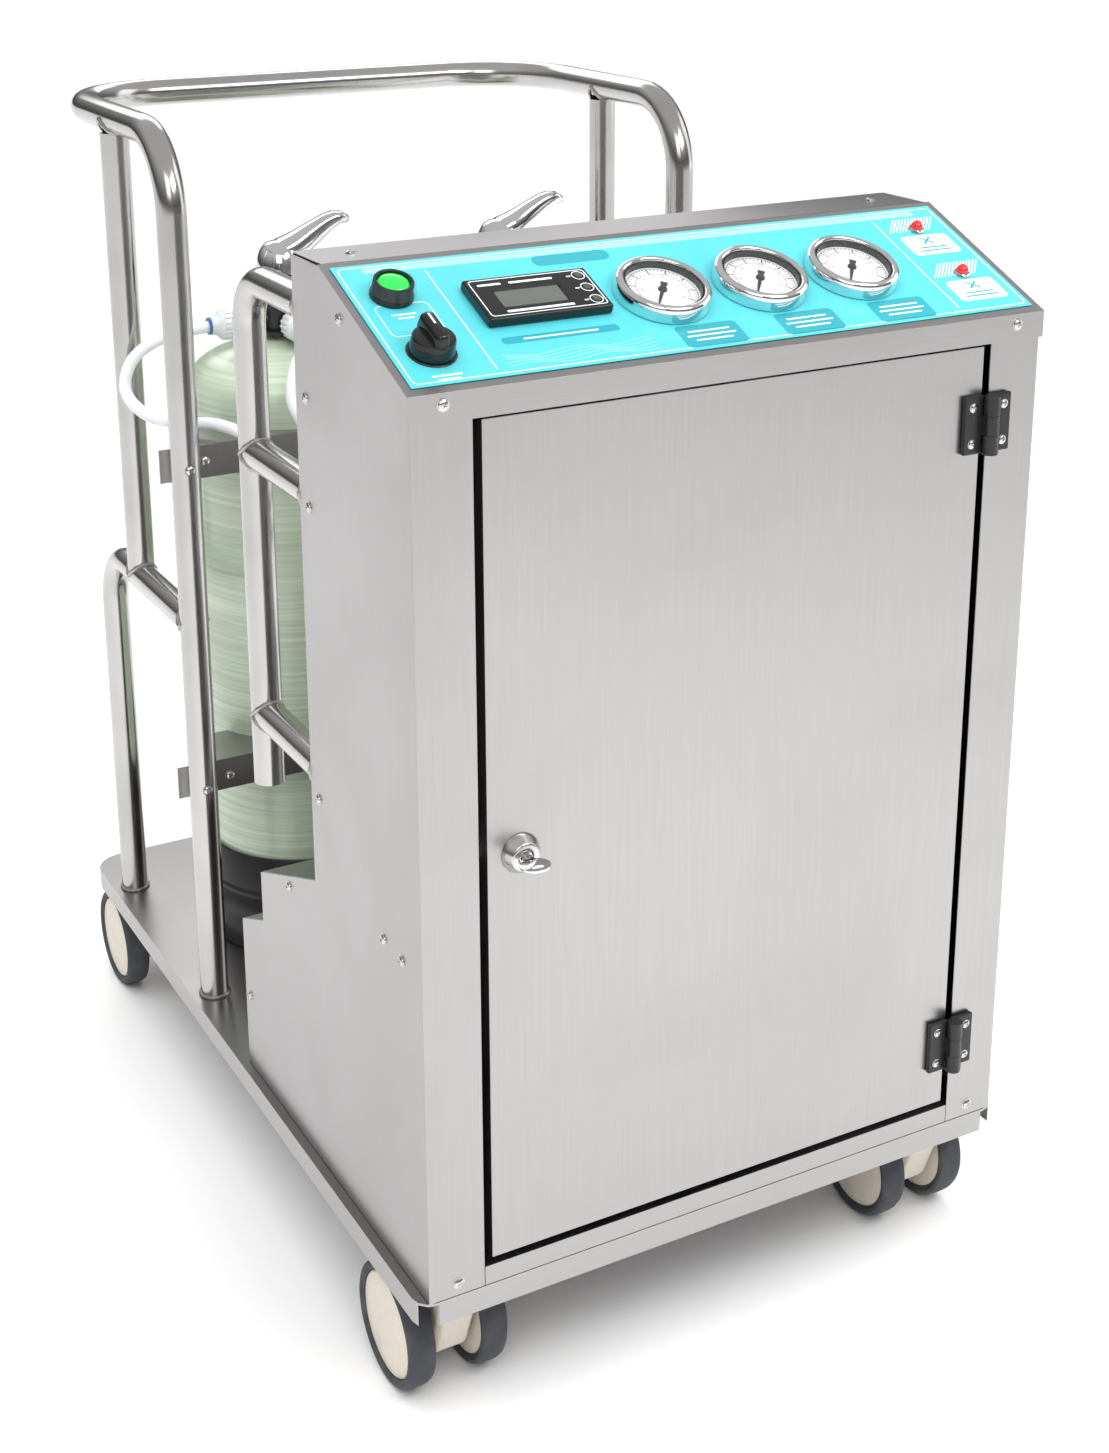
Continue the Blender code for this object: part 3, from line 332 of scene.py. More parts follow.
def moulded(name, colour, roughness, grain=700.0, depth=0.08):
    """Moulded plastic with a fine spark-eroded grain and slightly worn tone."""
    made = Finish(name, IOR=1.48)
    pores = made.noise(grain, (1, 1, 1), 2.0)
    cloud = made.noise(16.0, (1, 1, 1), 4.0)
    dark = [0.80 * c for c in colour]
    light = [min(1.0, 1.10 * c + 0.004) for c in colour]
    made.set("Base Color", made.mix(made.span(cloud, 0.3, 0.7), dark, light))
    made.set("Roughness", (roughness - 0.06) + 0.12 * pores)
    made.bump(pores, depth, 0.0003)
    return made


def black_plastic():
    return moulded("black_plastic", (0.012, 0.012, 0.013), 0.34)


def gloss_black():
    return moulded("gloss_black", (0.006, 0.006, 0.007), 0.20, 900.0, 0.02)


def key_rubber():
    return moulded("key_rubber", (0.07, 0.075, 0.08), 0.55, 900.0)


def white_plastic():
    return moulded("white_plastic", (0.80, 0.82, 0.83), 0.32, 500.0, 0.03)


def blue_plastic():
    return moulded("blue_plastic", (0.05, 0.16, 0.42), 0.30, 500.0, 0.03)


def vessel_white():
    return moulded("vessel_white", (0.72, 0.74, 0.74), 0.30, 260.0, 0.04)


def box_grey():
    return moulded("box_grey", (0.40, 0.41, 0.42), 0.48)


def hose_wall():
    """Milky tube: paler where the wall is thick."""
    made = Finish("hose_wall", IOR=1.5, Subsurface_Weight=0.25, Subsurface_Scale=0.004)
    cloud = made.noise(40.0, (1, 1, 1), 3.0)
    made.set("Base Color", made.mix(cloud, (0.74, 0.77, 0.80), (0.90, 0.92, 0.93)))
    made.set("Roughness", 0.20 + 0.14 * cloud)
    made.bump(cloud, 0.05, 0.0004)
    return made


def cream_nylon():
    """Cream nylon, darker in spots close to the floor."""
    made = Finish("cream_nylon", IOR=1.5)
    pores = made.noise(500.0, (1, 1, 1), 2.0)
    spots = made.noise(70.0, (1, 1, 1), 5.0)
    colour = made.mix(made.span(pores, 0.3, 0.7), [0.93 * c for c in settings().cream], settings().cream)
    low = made.span(made.along("Z"), 0.055, 0.010)
    made.set("Base Color", made.mix(made.span(spots, 0.5, 0.75) * low * 0.5, colour, (0.30, 0.26, 0.21)))
    made.set("Roughness", 0.34 + 0.14 * spots)
    made.bump(pores, 0.05, 0.0003)
    return made


def tyre_rubber():
    """Grey rubber with dust in its pores."""
    made = Finish("tyre_rubber")
    pores = made.noise(900.0, (1, 1, 1), 3.0)
    dust = made.noise(45.0, (1, 1, 1), 5.0)
    dusty = made.span(dust, 0.45, 0.8, 0, 0.5)
    made.set("Base Color", made.mix(dusty, (0.042, 0.045, 0.055), (0.13, 0.125, 0.12)))
    made.set("Roughness", 0.58 + 0.22 * pores)
    made.bump(pores, 0.15, 0.0003)
    return made


def wound_resin():
    """Glass fibre wound round the tank under a clear resin coat."""
    made = Finish("wound_resin", IOR=1.53, Coat_Weight=0.45, Coat_Roughness=0.12,
                  Subsurface_Weight=0.12, Subsurface_Scale=0.01)
    hoops = made.noise(1.0, (7, 7, 330), 4.0, 0.25)
    bands = made.noise(1.0, (3, 3, 46), 2.0, 0.35)
    cloud = made.noise(9.0, (1, 1, 1), 4.0)
    base = settings().resin
    dark = [0.84 * c for c in base]
    light = [min(1, 1.16 * c) for c in base]
    colour = made.mix(made.span(hoops, 0.32, 0.68), dark, light)
    colour = made.mix(made.span(bands, 0.45, 0.7, 0, 0.25), colour, (0.72, 0.76, 0.62))
    made.set("Base Color", made.mix(made.span(cloud, 0.5, 0.8, 0, 0.35), colour, (0.40, 0.50, 0.40)))
    made.set("Roughness", 0.24 + 0.18 * hoops)
    made.bump(0.7 * hoops + 0.3 * bands, 0.30, 0.0008)
    return made


def printed(name, colour, roughness=0.34):
    """Ink on polyester foil, with a fine screen in it."""
    made = Finish(name, IOR=1.5, Coat_Weight=0.15, Coat_Roughness=0.3)
    screen = made.noise(1500.0, (1, 1, 1), 2.0)
    cloud = made.noise(7.0, (1, 1, 1), 3.0)
    dark = [0.92 * c for c in colour]
    light = [min(1, 1.06 * c) for c in colour]
    tone = made.mix(made.span(cloud, 0.3, 0.7), dark, light)
    made.set("Base Color", made.mix(0.10 * screen, tone, [0.8 * c for c in colour]))
    made.set("Roughness", (roughness - 0.04) + 0.08 * screen)
    made.bump(screen, 0.03, 0.0002)
    return made


def foil_ground():
    return printed("foil_ground", tuple(settings().foil))


def foil_field():
    return printed("foil_field", tuple(settings().foil_dark))


def foil_pale():
    return printed("foil_pale", (0.34, 0.84, 0.88))


def ink_white():
    return printed("ink_white", (0.86, 0.93, 0.93))


def ink_black():
    return printed("ink_black", (0.012, 0.012, 0.014))


def ink_red():
    return printed("ink_red", (0.62, 0.03, 0.03))


def dial_card():
    return printed("dial_card", (0.84, 0.85, 0.84), 0.42)


def lcd_card():
    return printed("lcd_card", (0.115, 0.125, 0.105), 0.18)


def lens(name, colour, glow):
    """A coloured lens, lit from behind."""
    made = Finish(name, IOR=1.49, Coat_Weight=0.8, Coat_Roughness=0.05, Emission_Strength=glow)
    flow = made.noise(260.0, (1, 1, 1), 2.0)
    made.set("Base Color", made.mix(flow, [0.75 * c for c in colour], [min(1, 1.2 * c) for c in colour]))
    made.set("Emission Color", made.mix(flow, colour, [min(1, 1.3 * c + 0.01) for c in colour]))
    made.set("Roughness", 0.12 + 0.10 * flow)
    made.bump(flow, 0.04, 0.0004)
    return made


def green_lens():
    return lens("green_lens", tuple(settings().button), 0.45)


def red_lens():
    return lens("red_lens", tuple(settings().lamp), 0.10)


def clear_cover():
    """A clear window: only its gloss and a little dust show."""
    made = Finish("clear_cover", IOR=1.5, Base_Color=(0.25, 0.27, 0.27, 1.0))
    dust = made.noise(120.0, (1, 1, 1), 4.0)
    made.set("Roughness", 0.03 + 0.05 * dust)
    made.set("Alpha", 0.04 + 0.03 * dust)
    return made


def motor_enamel():
    return moulded("motor_enamel", (0.09, 0.14, 0.22), 0.34, 300.0, 0.12)


def pale_floor():
    made = Finish("pale_floor")
    cloud = made.noise(0.6, (1, 1, 1), 2.0)
    made.set("Base Color", made.mix(cloud, (0.86, 0.86, 0.86), (0.90, 0.90, 0.90)))
    made.set("Roughness", 0.55 + 0.1 * cloud)
    return made


# ---------------------------------------------------------------- shapes
def rounded(width, height, radius, steps=5):
    """Points of a rectangle with round corners, about the origin."""
    points = []
    for sx, sy, start in ((1, 1, 0), (-1, 1, 90), (-1, -1, 180), (1, -1, 270)):
        for i in range(steps + 1):
            turn = math.radians(start + 90 * i / steps)
            points.append((sx * (width / 2 - radius) + radius * math.cos(turn),
                           sy * (height / 2 - radius) + radius * math.sin(turn)))
    return points


def circle(radius, steps=48, centre=(0, 0)):
    return [(centre[0] + radius * math.cos(math.tau * i / steps),
             centre[1] + radius * math.sin(math.tau * i / steps)) for i in range(steps)]


def bent_path(corners, radii, steps=12):
    """A path through corners, each inner corner rounded to its bend radius."""
    corners = [Vector(c) for c in corners]
    if not isinstance(radii, tuple):
        radii = (radii,) * len(corners)
    path = [corners[0]]
    for before, corner, after, radius in zip(corners, corners[1:], corners[2:], radii):
        back, on = (before - corner).normalized(), (after - corner).normalized()
        half = back.angle(on) / 2
        reach = radius / math.tan(half)
        centre = corner + (back + on).normalized() * (radius / math.sin(half))
        first = (corner + back * reach - centre).normalized()
        last = (corner + on * reach - centre).normalized()
        path += [centre + first.slerp(last, i / steps) * radius for i in range(steps + 1)]
    path.append(corners[-1])
    return path


def smooth_path(points, steps=8):
    """A smooth curve through points, straight over its first and last stretch."""
    path = [points[0]]
    for a, b, c, d in zip(points, points[1:], points[2:], points[3:]):
        for i in range(steps):
            t = i / steps
            path.append(0.5 * (2 * b + (c - a) * t + (2 * a - 5 * b + 4 * c - d) * t ** 2
                               + (3 * b - a - 3 * c + d) * t ** 3))
    return path + list(points[-2:])


class Shape:
    """A mesh in the making, in the row frame."""

    def __init__(self):
        self.bm = bmesh.new()

    def skin(self, first, second):
        count = max(len(first), len(second))
        for i in range(count if count > 1 else 0):
            j = (i + 1) % count
            corners = [first[i % len(first)], first[j % len(first)],
                       second[j % len(second)], second[i % len(second)]]
            self.bm.faces.new(list(dict.fromkeys(corners)))

    def rings(self, rings, place=Matrix(), looped=False, capped=True):
        """Rings of points joined one to the next."""
        rows = [[self.bm.verts.new(place @ Vector(point)) for point in ring] for ring in rings]
        for first, second in zip(rows, rows[1:]):
            self.skin(first, second)
        if looped:
            self.skin(rows[-1], rows[0])
        elif capped:
            for row in (rows[0], rows[-1]):
                if len(row) > 2:
                    self.bm.faces.new(row)
        return self

    def turned(self, profile, place=Matrix(), looped=False, steps=None):
        """A profile of (radius, height) points turned about Z."""
        steps = steps or settings().turn_steps
        rings = []
        for radius, height in profile:
            around = [(0, 0)] if radius < 1e-6 else circle(radius, steps)
            rings.append([(x, y, height) for x, y in around])
        return self.rings(rings, place, looped)

    def prism(self, outline, low, high, place=Matrix()):
        """A flat outline, raised from one height to another."""
        return self.rings([[(x, y, z) for x, y in outline] for z in (low, high)], place)

    def block(self, low, high, place=Matrix()):
        corners = [(low[0], low[1]), (high[0], low[1]), (high[0], high[1]), (low[0], high[1])]
        return self.prism(corners, low[2], high[2], place)

    def frame_ring(self, outer, inner, low, high, place=Matrix()):
        """A band between two outlines of the same number of points."""
        rings = [[(x, y, z) for x, y in outline]
                 for outline, z in ((outer, low), (outer, high), (inner, high), (inner, low))]
        return self.rings(rings, place, looped=True)

    def swept(self, path, radius, sides=16, looped=False):
        """A round section carried along a path. The radius may be a list, one for each point."""
        count = len(path)
        radii = radius if isinstance(radius, list) else [radius] * count
        rings = []
        side = None
        for i, point in enumerate(path):
            after = path[(i + 1) % count] if looped or i < count - 1 else point
            before = path[i - 1] if looped or i else point
            ahead = (after - before).normalized()
            if side is None:
                side = ahead.orthogonal().normalized()
            side = (side - ahead * side.dot(ahead)).normalized()
            other = ahead.cross(side)
            rings.append([point + side * (radii[i] * x) + other * (radii[i] * y)
                          for x, y in circle(1.0, sides)])
        return self.rings(rings, looped=looped)

    def stamp(self, mesh, place):
        """A copy of a finished mesh."""
        copy = mesh.copy()
        copy.transform(place)
        self.bm.from_mesh(copy)
        bpy.data.meshes.remove(copy)
        return self

    def mesh(self, name):
        bmesh.ops.recalc_face_normals(self.bm, faces=self.bm.faces)
        made = bpy.data.meshes.new(name)
        self.bm.to_mesh(made)
        self.bm.free()
        return made

    def piece(self, name, body, material, slot, stands_for=(), edge=0.0, angle=34):
        """Finish the mesh as a piece that rides on a CAD body."""
        made = bpy.data.objects.new(name, self.mesh(name))
        bpy.context.scene.collection.objects.link(made)
        made.data.materials.append(material)
        smooth(made, angle)
        if edge:
            bevel(made, edge)
        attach(made, body)
        if stands_for:
            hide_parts(*stands_for)
        return made


def smooth(obj, angle):
    obj.data.shade_smooth()
    obj.data.set_sharp_from_angle(angle=math.radians(angle))


def bevel(obj, width, segments=2):
    mod = obj.modifiers.new("Edges", "BEVEL")
    mod.width = width
    mod.segments = segments
    mod.limit_method = "ANGLE"
    mod.angle_limit = math.radians(30)
    mod.harden_normals = True


def dress(node, material, edge=0.0):
    """Give a CAD node its finish: welded, its edges rounded, and smooth over its curves."""
    obj = frame["nodes"][node]
    obj.data.materials.clear()
    obj.data.materials.append(material)
    for name in ("custom_normal", "sharp_face"):
        if name in obj.data.attributes:
            obj.data.attributes.remove(obj.data.attributes[name])
    obj.data.shade_smooth()
    weld = obj.modifiers.new("Weld", "WELD")
    weld.merge_threshold = 0.00002
    if edge:
        bevel(obj, edge)
        obj.modifiers["Edges"].harden_normals = False
    split = obj.modifiers.new("Sharp", "EDGE_SPLIT")
    split.split_angle = math.radians(34)
    level = obj.modifiers.new("Level", "WEIGHTED_NORMAL")
    level.keep_sharp = True
    level.weight = 100
    return obj


def text_mesh(words, size, depth=0.0):
    """Figures as a flat mesh about the origin."""
    curve = bpy.data.curves.new("figures", "FONT")
    curve.body = words
    curve.size = size
    curve.extrude = depth
    curve.align_x = "CENTER"
    curve.align_y = "CENTER"
    obj = bpy.data.objects.new("figures", curve)
    bpy.context.scene.collection.objects.link(obj)
    bpy.context.view_layer.update()
    graph = bpy.context.evaluated_depsgraph_get()
    mesh = bpy.data.meshes.new_from_object(obj.evaluated_get(graph))
    bpy.data.objects.remove(obj)
    return mesh


def cross_head():
    """A pan head with a cross recess and its washer, of unit radius, looking along Z."""
    head = Shape().turned([(0, 0.52), (0.30, 0.505), (0.58, 0.43), (0.80, 0.27), (0.86, 0.10),
                           (0.86, 0.09), (1.0, 0.07), (1.0, -0.05), (0, -0.05)], steps=28)
    recess = Shape()
    recess.block((-0.42, -0.085, 0.22), (0.42, 0.085, 0.8))
    recess.block((-0.085, -0.42, 0.2201), (0.085, 0.42, 0.8001))
    obj = bpy.data.objects.new("head", head.mesh("head"))
    tool = bpy.data.objects.new("recess", recess.mesh("recess"))
    for each in (obj, tool):
        bpy.context.scene.collection.objects.link(each)
    mod = obj.modifiers.new("Recess", "BOOLEAN")
    mod.operation = "DIFFERENCE"
    mod.object = tool
    mod.use_self = True
    bpy.context.view_layer.update()
    graph = bpy.context.evaluated_depsgraph_get()
    mesh = bpy.data.meshes.new_from_object(obj.evaluated_get(graph))
    for each in (obj, tool):
        bpy.data.objects.remove(each)
    return mesh


def weld_loop(centre, along, axis, radius, rise=0.0):
    """A closed path round a tube that meets another of the same radius, or a flat face."""
    side = axis.cross(along).normalized()
    path = []
    for i in range(40):
        turn = math.tau * i / 40
        reach = math.sqrt(max(0.0, rise ** 2 - (radius * math.sin(turn)) ** 2))
        path.append(centre + side * (radius * math.sin(turn)) + axis * (radius * math.cos(turn))
                    + along * (reach + 0.0004))
    return path


def bead(shape, path, radius):
    """A weld bead with its ripples along a closed path."""
    radii = [radius * (1 + 0.16 * math.sin(2.1 * i)) for i in range(len(path))]
    shape.swept(path, radii, sides=8, looped=True)


# ---------------------------------------------------------------- operators
class UNIT_OT_sheets(bpy.types.Operator):
    """Brush the folded sheets and round their edges"""
    bl_idname = "unit.sheets"
    bl_label = "Sheets"

    def execute(self, context):
        edge = settings().edge_radius
        for node in ("door", "side_panel_left", "side_panel_right", "back_cover", "tank_bracket_lower",
                     "tank_bracket_upper"):
            dress(node, finish(brushed_sheet, "Z"), edge)
        for node in ("console_lid", "bottom_rail"):
            dress(node, finish(brushed_sheet, "X"), edge)
        dress("base_tray", finish(brushed_sheet, "Y"), 2.4 * edge)
        self.door_seal()
        return {"FINISHED"}

    def door_seal(self):
        """A rubber seal inside the door's turned edges."""
        low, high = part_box("door")
        middle = (low + high) / 2
        width, height = high.x - low.x - 0.010, high.z - low.z - 0.010
        place = facing(Vector((middle.x, high.y - 0.006, middle.z)), -Y_AXIS)
        outer, inner = rounded(width, height, 0.006), rounded(width - 0.014, height - 0.014, 0.004)
        seal = Shape().frame_ring(outer, inner, -0.0055, 0.0005, place)
        seal.piece("door_seal", "door", finish(black_plastic), "black_plastic", edge=0.001)


class UNIT_OT_tubes(bpy.types.Operator):
    """Bend the push handle, the rear frames and the hand rails, and weld them"""
    bl_idname = "unit.tubes"
    bl_label = "Tubes"

    def execute(self, context):
        radius, sides = settings().tube_radius, settings().tube_sides
        steel = finish(tube_steel)
        corners = [at(-LEG_X, LEG_Y, GAP), at(-LEG_X, LEG_Y, HANDLE_Z), at(-LEG_X, HANDLE_REAR_Y, HANDLE_Z),
                   at(LEG_X, HANDLE_REAR_Y, HANDLE_Z), at(LEG_X, LEG_Y, HANDLE_Z), at(LEG_X, LEG_Y, GAP)]
        bends = (HANDLE_BEND, HANDLE_CORNER, HANDLE_CORNER, HANDLE_BEND)
        handle = Shape().swept(bent_path(corners, bends), radius, sides)
        handle.piece("push_handle_tube", "frame", steel, "brushed_steel", ["push_handle"])
        beads = Shape()
        for side, name in ((-1, "left"), (1, "right")):
            x = side * LEG_X
            back = LEG_Y + radius + GAP
            leg = bent_path([at(x, back, REAR_BAR_Z), at(x, REAR_LEG_Y, REAR_BAR_Z),
                             at(x, REAR_LEG_Y, GAP)], REAR_BEND)
            post = [at(x, POST_Y, REAR_BAR_Z), at(x, POST_Y, HANDLE_Z - radius - GAP)]
            shape = Shape().swept(leg, radius, sides).swept(post, radius, sides)
            shape.piece("rear_frame_tube_" + name, "frame", steel, "brushed_steel", ["rear_frame_" + name])
            start = CAB_DEPTH + GAP
            rail = Shape().swept(bent_path([at(x, start, GUARD_TOP_Z), at(x, GUARD_Y, GUARD_TOP_Z),
                                            at(x, GUARD_Y, GUARD_END_Z)], GUARD_BEND), radius, sides)
            for z in GUARD_STRUTS_Z:
                rail.swept([at(x, start, z), at(x, GUARD_Y, z)], radius, sides)
                bead(beads, weld_loop(at(x, GUARD_Y, z), -Y_AXIS, Z_AXIS, radius, radius),
                     settings().weld_radius)
            rail.piece("hand_rail_tube_" + name, "frame", steel, "brushed_steel", ["guard_rail_" + name])
            self.welds(beads, x, radius)
        beads.piece("weld_beads", "frame", finish(weld_metal), "brushed_steel", angle=80)
        return {"FINISHED"}

    def welds(self, beads, x, radius):
        """The beads at the tray, the handle and the bars of one side."""
        width = settings().weld_radius
        for y in (LEG_Y, REAR_LEG_Y):
            bead(beads, weld_loop(at(x, y, 0.001), Z_AXIS, X_AXIS, radius), width)
        bead(beads, weld_loop(at(x, LEG_Y, REAR_BAR_Z), Y_AXIS, Z_AXIS, radius, radius), width)
        bead(beads, weld_loop(at(x, POST_Y, HANDLE_Z), -Z_AXIS, Y_AXIS, radius, radius), width)
        bead(beads, weld_loop(at(x, POST_Y, REAR_BAR_Z), Z_AXIS, Y_AXIS, radius, radius), width)
        for z in (GUARD_TOP_Z, *GUARD_STRUTS_Z):
            bead(beads, weld_loop(at(x, CAB_DEPTH + 0.001, z), Y_AXIS, Z_AXIS, radius), width)


class UNIT_OT_castors(bpy.types.Operator):
    """Turn the twin wheels and dress the castors' housings"""
    bl_idname = "unit.castors"
    bl_label = "Castors"

    def execute(self, context):
        for corner in ("front_left", "front_right", "rear_left", "rear_right"):
            axle = Vector(JOINTS[f"wheels_{corner}_spin"]["pos_m"])
            tyres, discs, pin = Shape(), Shape(), Shape()
            for side in (-1, 1):
                place = facing(axle, X_AXIS * side, Z_AXIS)
                tyres.turned([(0.0415, 0.0215), (0.0460, 0.0190), (0.0483, 0.0200), (0.0496, 0.0230),
                              (0.0500, 0.0270), (0.0500, 0.0330), (0.0496, 0.0372), (0.0484, 0.0402),
                              (0.0462, 0.0418), (0.0438, 0.0416), (0.0424, 0.0404), (0.0415, 0.0395)],
                             place, looped=True)
                discs.turned([(0, 0.0400), (0.0300, 0.0400), (0.0392, 0.0396), (0.0406, 0.0390),
                              (0.0413, 0.0380), (0.0413, 0.0218), (0.0380, 0.0205),
                              (0.0120, 0.0205), (0.0105, 0.0184), (0.0062, 0.0184)], place)
            pin.turned([(0, 0.0195), (0.0048, 0.0195), (0.0048, -0.0195), (0, -0.0195)],
                       facing(axle, X_AXIS, Z_AXIS))
            wheels = "wheels_" + corner
            tyres.piece("castor_tyres_" + corner, wheels, finish(tyre_rubber), "castor_tyre",
                        ["castor_wheels_" + corner])
            discs.piece("castor_discs_" + corner, wheels, finish(cream_nylon), "castor_cream")
            pin.piece("castor_axle_" + corner, wheels, finish(chrome, "screw"), "chrome")
            dress("castor_fork_" + corner, finish(cream_nylon), 0.0015)
            self.swivel(corner)
        return {"FINISHED"}

    def swivel(self, corner):
        """The pressed race round the swivel, tight under the tray."""
        pivot = Vector(JOINTS[f"castor_{corner}_swivel"]["pos_m"])
        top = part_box("castor_fork_" + corner)[1].z
        race = Shape().turned([(0.0150, 0), (0.0235, 0), (0.0240, -0.0010), (0.0240, -0.0040),
                               (0.0225, -0.0058), (0.0150, -0.0058)],
                              Matrix.Translation((pivot.x, pivot.y, top)), looped=True)
        race.piece("swivel_race_" + corner, "castor_" + corner, finish(chrome, "screw"), "chrome")


class UNIT_OT_tanks(bpy.types.Operator):
    """Wind the tanks, and make their boots, valve heads and levers"""
    bl_idname = "unit.tanks"
    bl_label = "Tanks"

    def execute(self, context):
        for side, name in ((-1, "left"), (1, "right")):
            low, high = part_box("tank_" + name)
            radius = (high.x - low.x) / 2
            centre = Vector(((low.x + high.x) / 2, TANK_Y + FRONT_Y, 0))
            stand = Matrix.Translation(centre)
            self.vessel(name, stand, low.z, high.z, radius)
            self.boot(name, stand, radius)
            self.valve(name, centre)
            self.lever(name)
        return {"FINISHED"}

    def vessel(self, name, stand, low, high, radius):
        shoulder = high - 0.044
        profile = [(0, high), (0.020, high), (0.0215, high - 0.0015)]
        for i in range(1, 19):
            turn = math.radians(76 - 76 * i / 18)
            profile.append((radius * math.cos(turn), shoulder + 0.040 * math.sin(turn)))
        profile += [(radius, low + 0.045 + 0.30 * (shoulder - low) * k) for k in (3, 2, 1)]
        for i in range(9):
            turn = math.radians(90 * i / 8)
            profile.append((radius * math.cos(turn), low + 0.045 - 0.045 * math.sin(turn)))
        profile[-1] = (0, low)
        Shape().turned(profile, stand).piece(
            "wound_tank_" + name, "frame", finish(wound_resin), "wound_resin", ["tank_" + name], angle=60)

    def boot(self, name, stand, radius):
        low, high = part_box("tank_boot_" + name)
        outer = (high.x - low.x) / 2 - 0.002
        profile = [(radius + 0.0003, high.z - 0.001), (radius + 0.0016, high.z), (outer - 0.0008, high.z),
                   (outer, high.z - 0.001), (outer, low.z + 0.064), (outer + 0.0008, low.z + 0.0625),
                   (outer + 0.002, low.z + 0.061), (outer + 0.002, low.z + 0.056),
                   (outer + 0.0006, low.z + 0.054), (outer + 0.0006, low.z + 0.030),
                   (outer + 0.002, low.z + 0.028), (outer + 0.002, low.z + 0.001),
                   (outer + 0.001, low.z), (radius * 0.42, low.z), (radius * 0.42, low.z + 0.006),
                   (radius * 0.70, low.z + 0.008), (radius * 0.96, low.z + 0.040),
                   (radius + 0.0003, low.z + 0.056)]
        Shape().turned(profile, stand, looped=True).piece(
            "tank_boot_cup_" + name, "frame", finish(black_plastic), "black_plastic",
            ["tank_boot_" + name], angle=40)

    def valve(self, name, centre):
        """The grip collar round the valve's neck and its ribbed cap."""
        low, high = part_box("valve_head_" + name)
        dress("valve_head_" + name, finish(black_plastic), 0.0008)
        grip = Shape()
        stand = Matrix.Translation((centre.x, centre.y, 0))
        grip.turned([(0.0180, high.z - 0.0205), (0.0250, high.z - 0.0205), (0.0256, high.z - 0.0195),
                     (0.0256, high.z - 0.0165), (0.0247, high.z - 0.0155), (0.0247, high.z - 0.0045),
                     (0.0254, high.z - 0.0035), (0.0254, high.z - 0.0012), (0.0246, high.z - 0.0004),
                     (0.0180, high.z - 0.0004)], stand, looped=True)
        for i in range(30):
            turn = Matrix.Rotation(math.tau * i / 30, 4, "Z")
            grip.block((0.0240, -0.0009, high.z - 0.0160), (0.0256, 0.0009, high.z - 0.0040), stand @ turn)
        grip.turned([(0.0180, low.z + 0.0004), (0.0270, low.z + 0.0004), (0.0275, low.z + 0.0012),
                     (0.0275, low.z + 0.0040), (0.0262, low.z + 0.0052), (0.0180, low.z + 0.0052)],
                    stand, looped=True)
        grip.piece("valve_collar_" + name, "frame", finish(black_plastic), "black_plastic")

    def lever(self, name):
        """The chrome lever: a round cap and an arm that rises and droops at its tip."""
        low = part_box("valve_lever_" + name)[0]
        pivot = Vector(JOINTS[f"lever_{name}_turn"]["pos_m"])
        stand = Matrix.Translation((pivot.x, pivot.y, low.z))
        shape = Shape().turned([(0, 0.0300), (0.0050, 0.0298), (0.0100, 0.0286), (0.0142, 0.0260),
                                (0.0175, 0.0218), (0.0198, 0.0168), (0.0212, 0.0115), (0.0220, 0.0060),
                                (0.0221, 0.0016), (0.0214, 0.0004), (0.0196, 0)], stand)
        spine = [(-0.006, 0.0175, 0.0140, 0.0100), (0.004, 0.0190, 0.0165, 0.0125),
                 (0.014, 0.0225, 0.0150, 0.0125), (0.023, 0.0272, 0.0128, 0.0118),
                 (0.031, 0.0322, 0.0112, 0.0108), (0.039, 0.0372, 0.0102, 0.0096),
                 (0.047, 0.0420, 0.0096, 0.0084), (0.054, 0.0450, 0.0092, 0.0072),
                 (0.060, 0.0456, 0.0088, 0.0060), (0.0645, 0.0436, 0.0076, 0.0048),
                 (0.0665, 0.0412, 0.0050, 0.0030)]
        rings = []
        for i, (x, z, half_width, half_depth) in enumerate(spine):
            after, before = spine[min(i + 1, len(spine) - 1)], spine[max(i - 1, 0)]
            lean = math.atan2(after[1] - before[1], after[0] - before[0])
            ring = []
            for k in range(28):
                turn = math.tau * k / 28
                across = math.copysign(abs(math.cos(turn)) ** 0.75, math.cos(turn)) * half_width
                rise = math.copysign(abs(math.sin(turn)) ** 0.75, math.sin(turn)) * half_depth
                ring.append((x - rise * math.sin(lean), across, z + rise * math.cos(lean)))
            rings.append(ring)
        shape.rings(rings, stand)
        shape.piece("chrome_lever_" + name, "lever_" + name, finish(chrome, "bright"), "chrome",
                    ["valve_lever_" + name], angle=50)


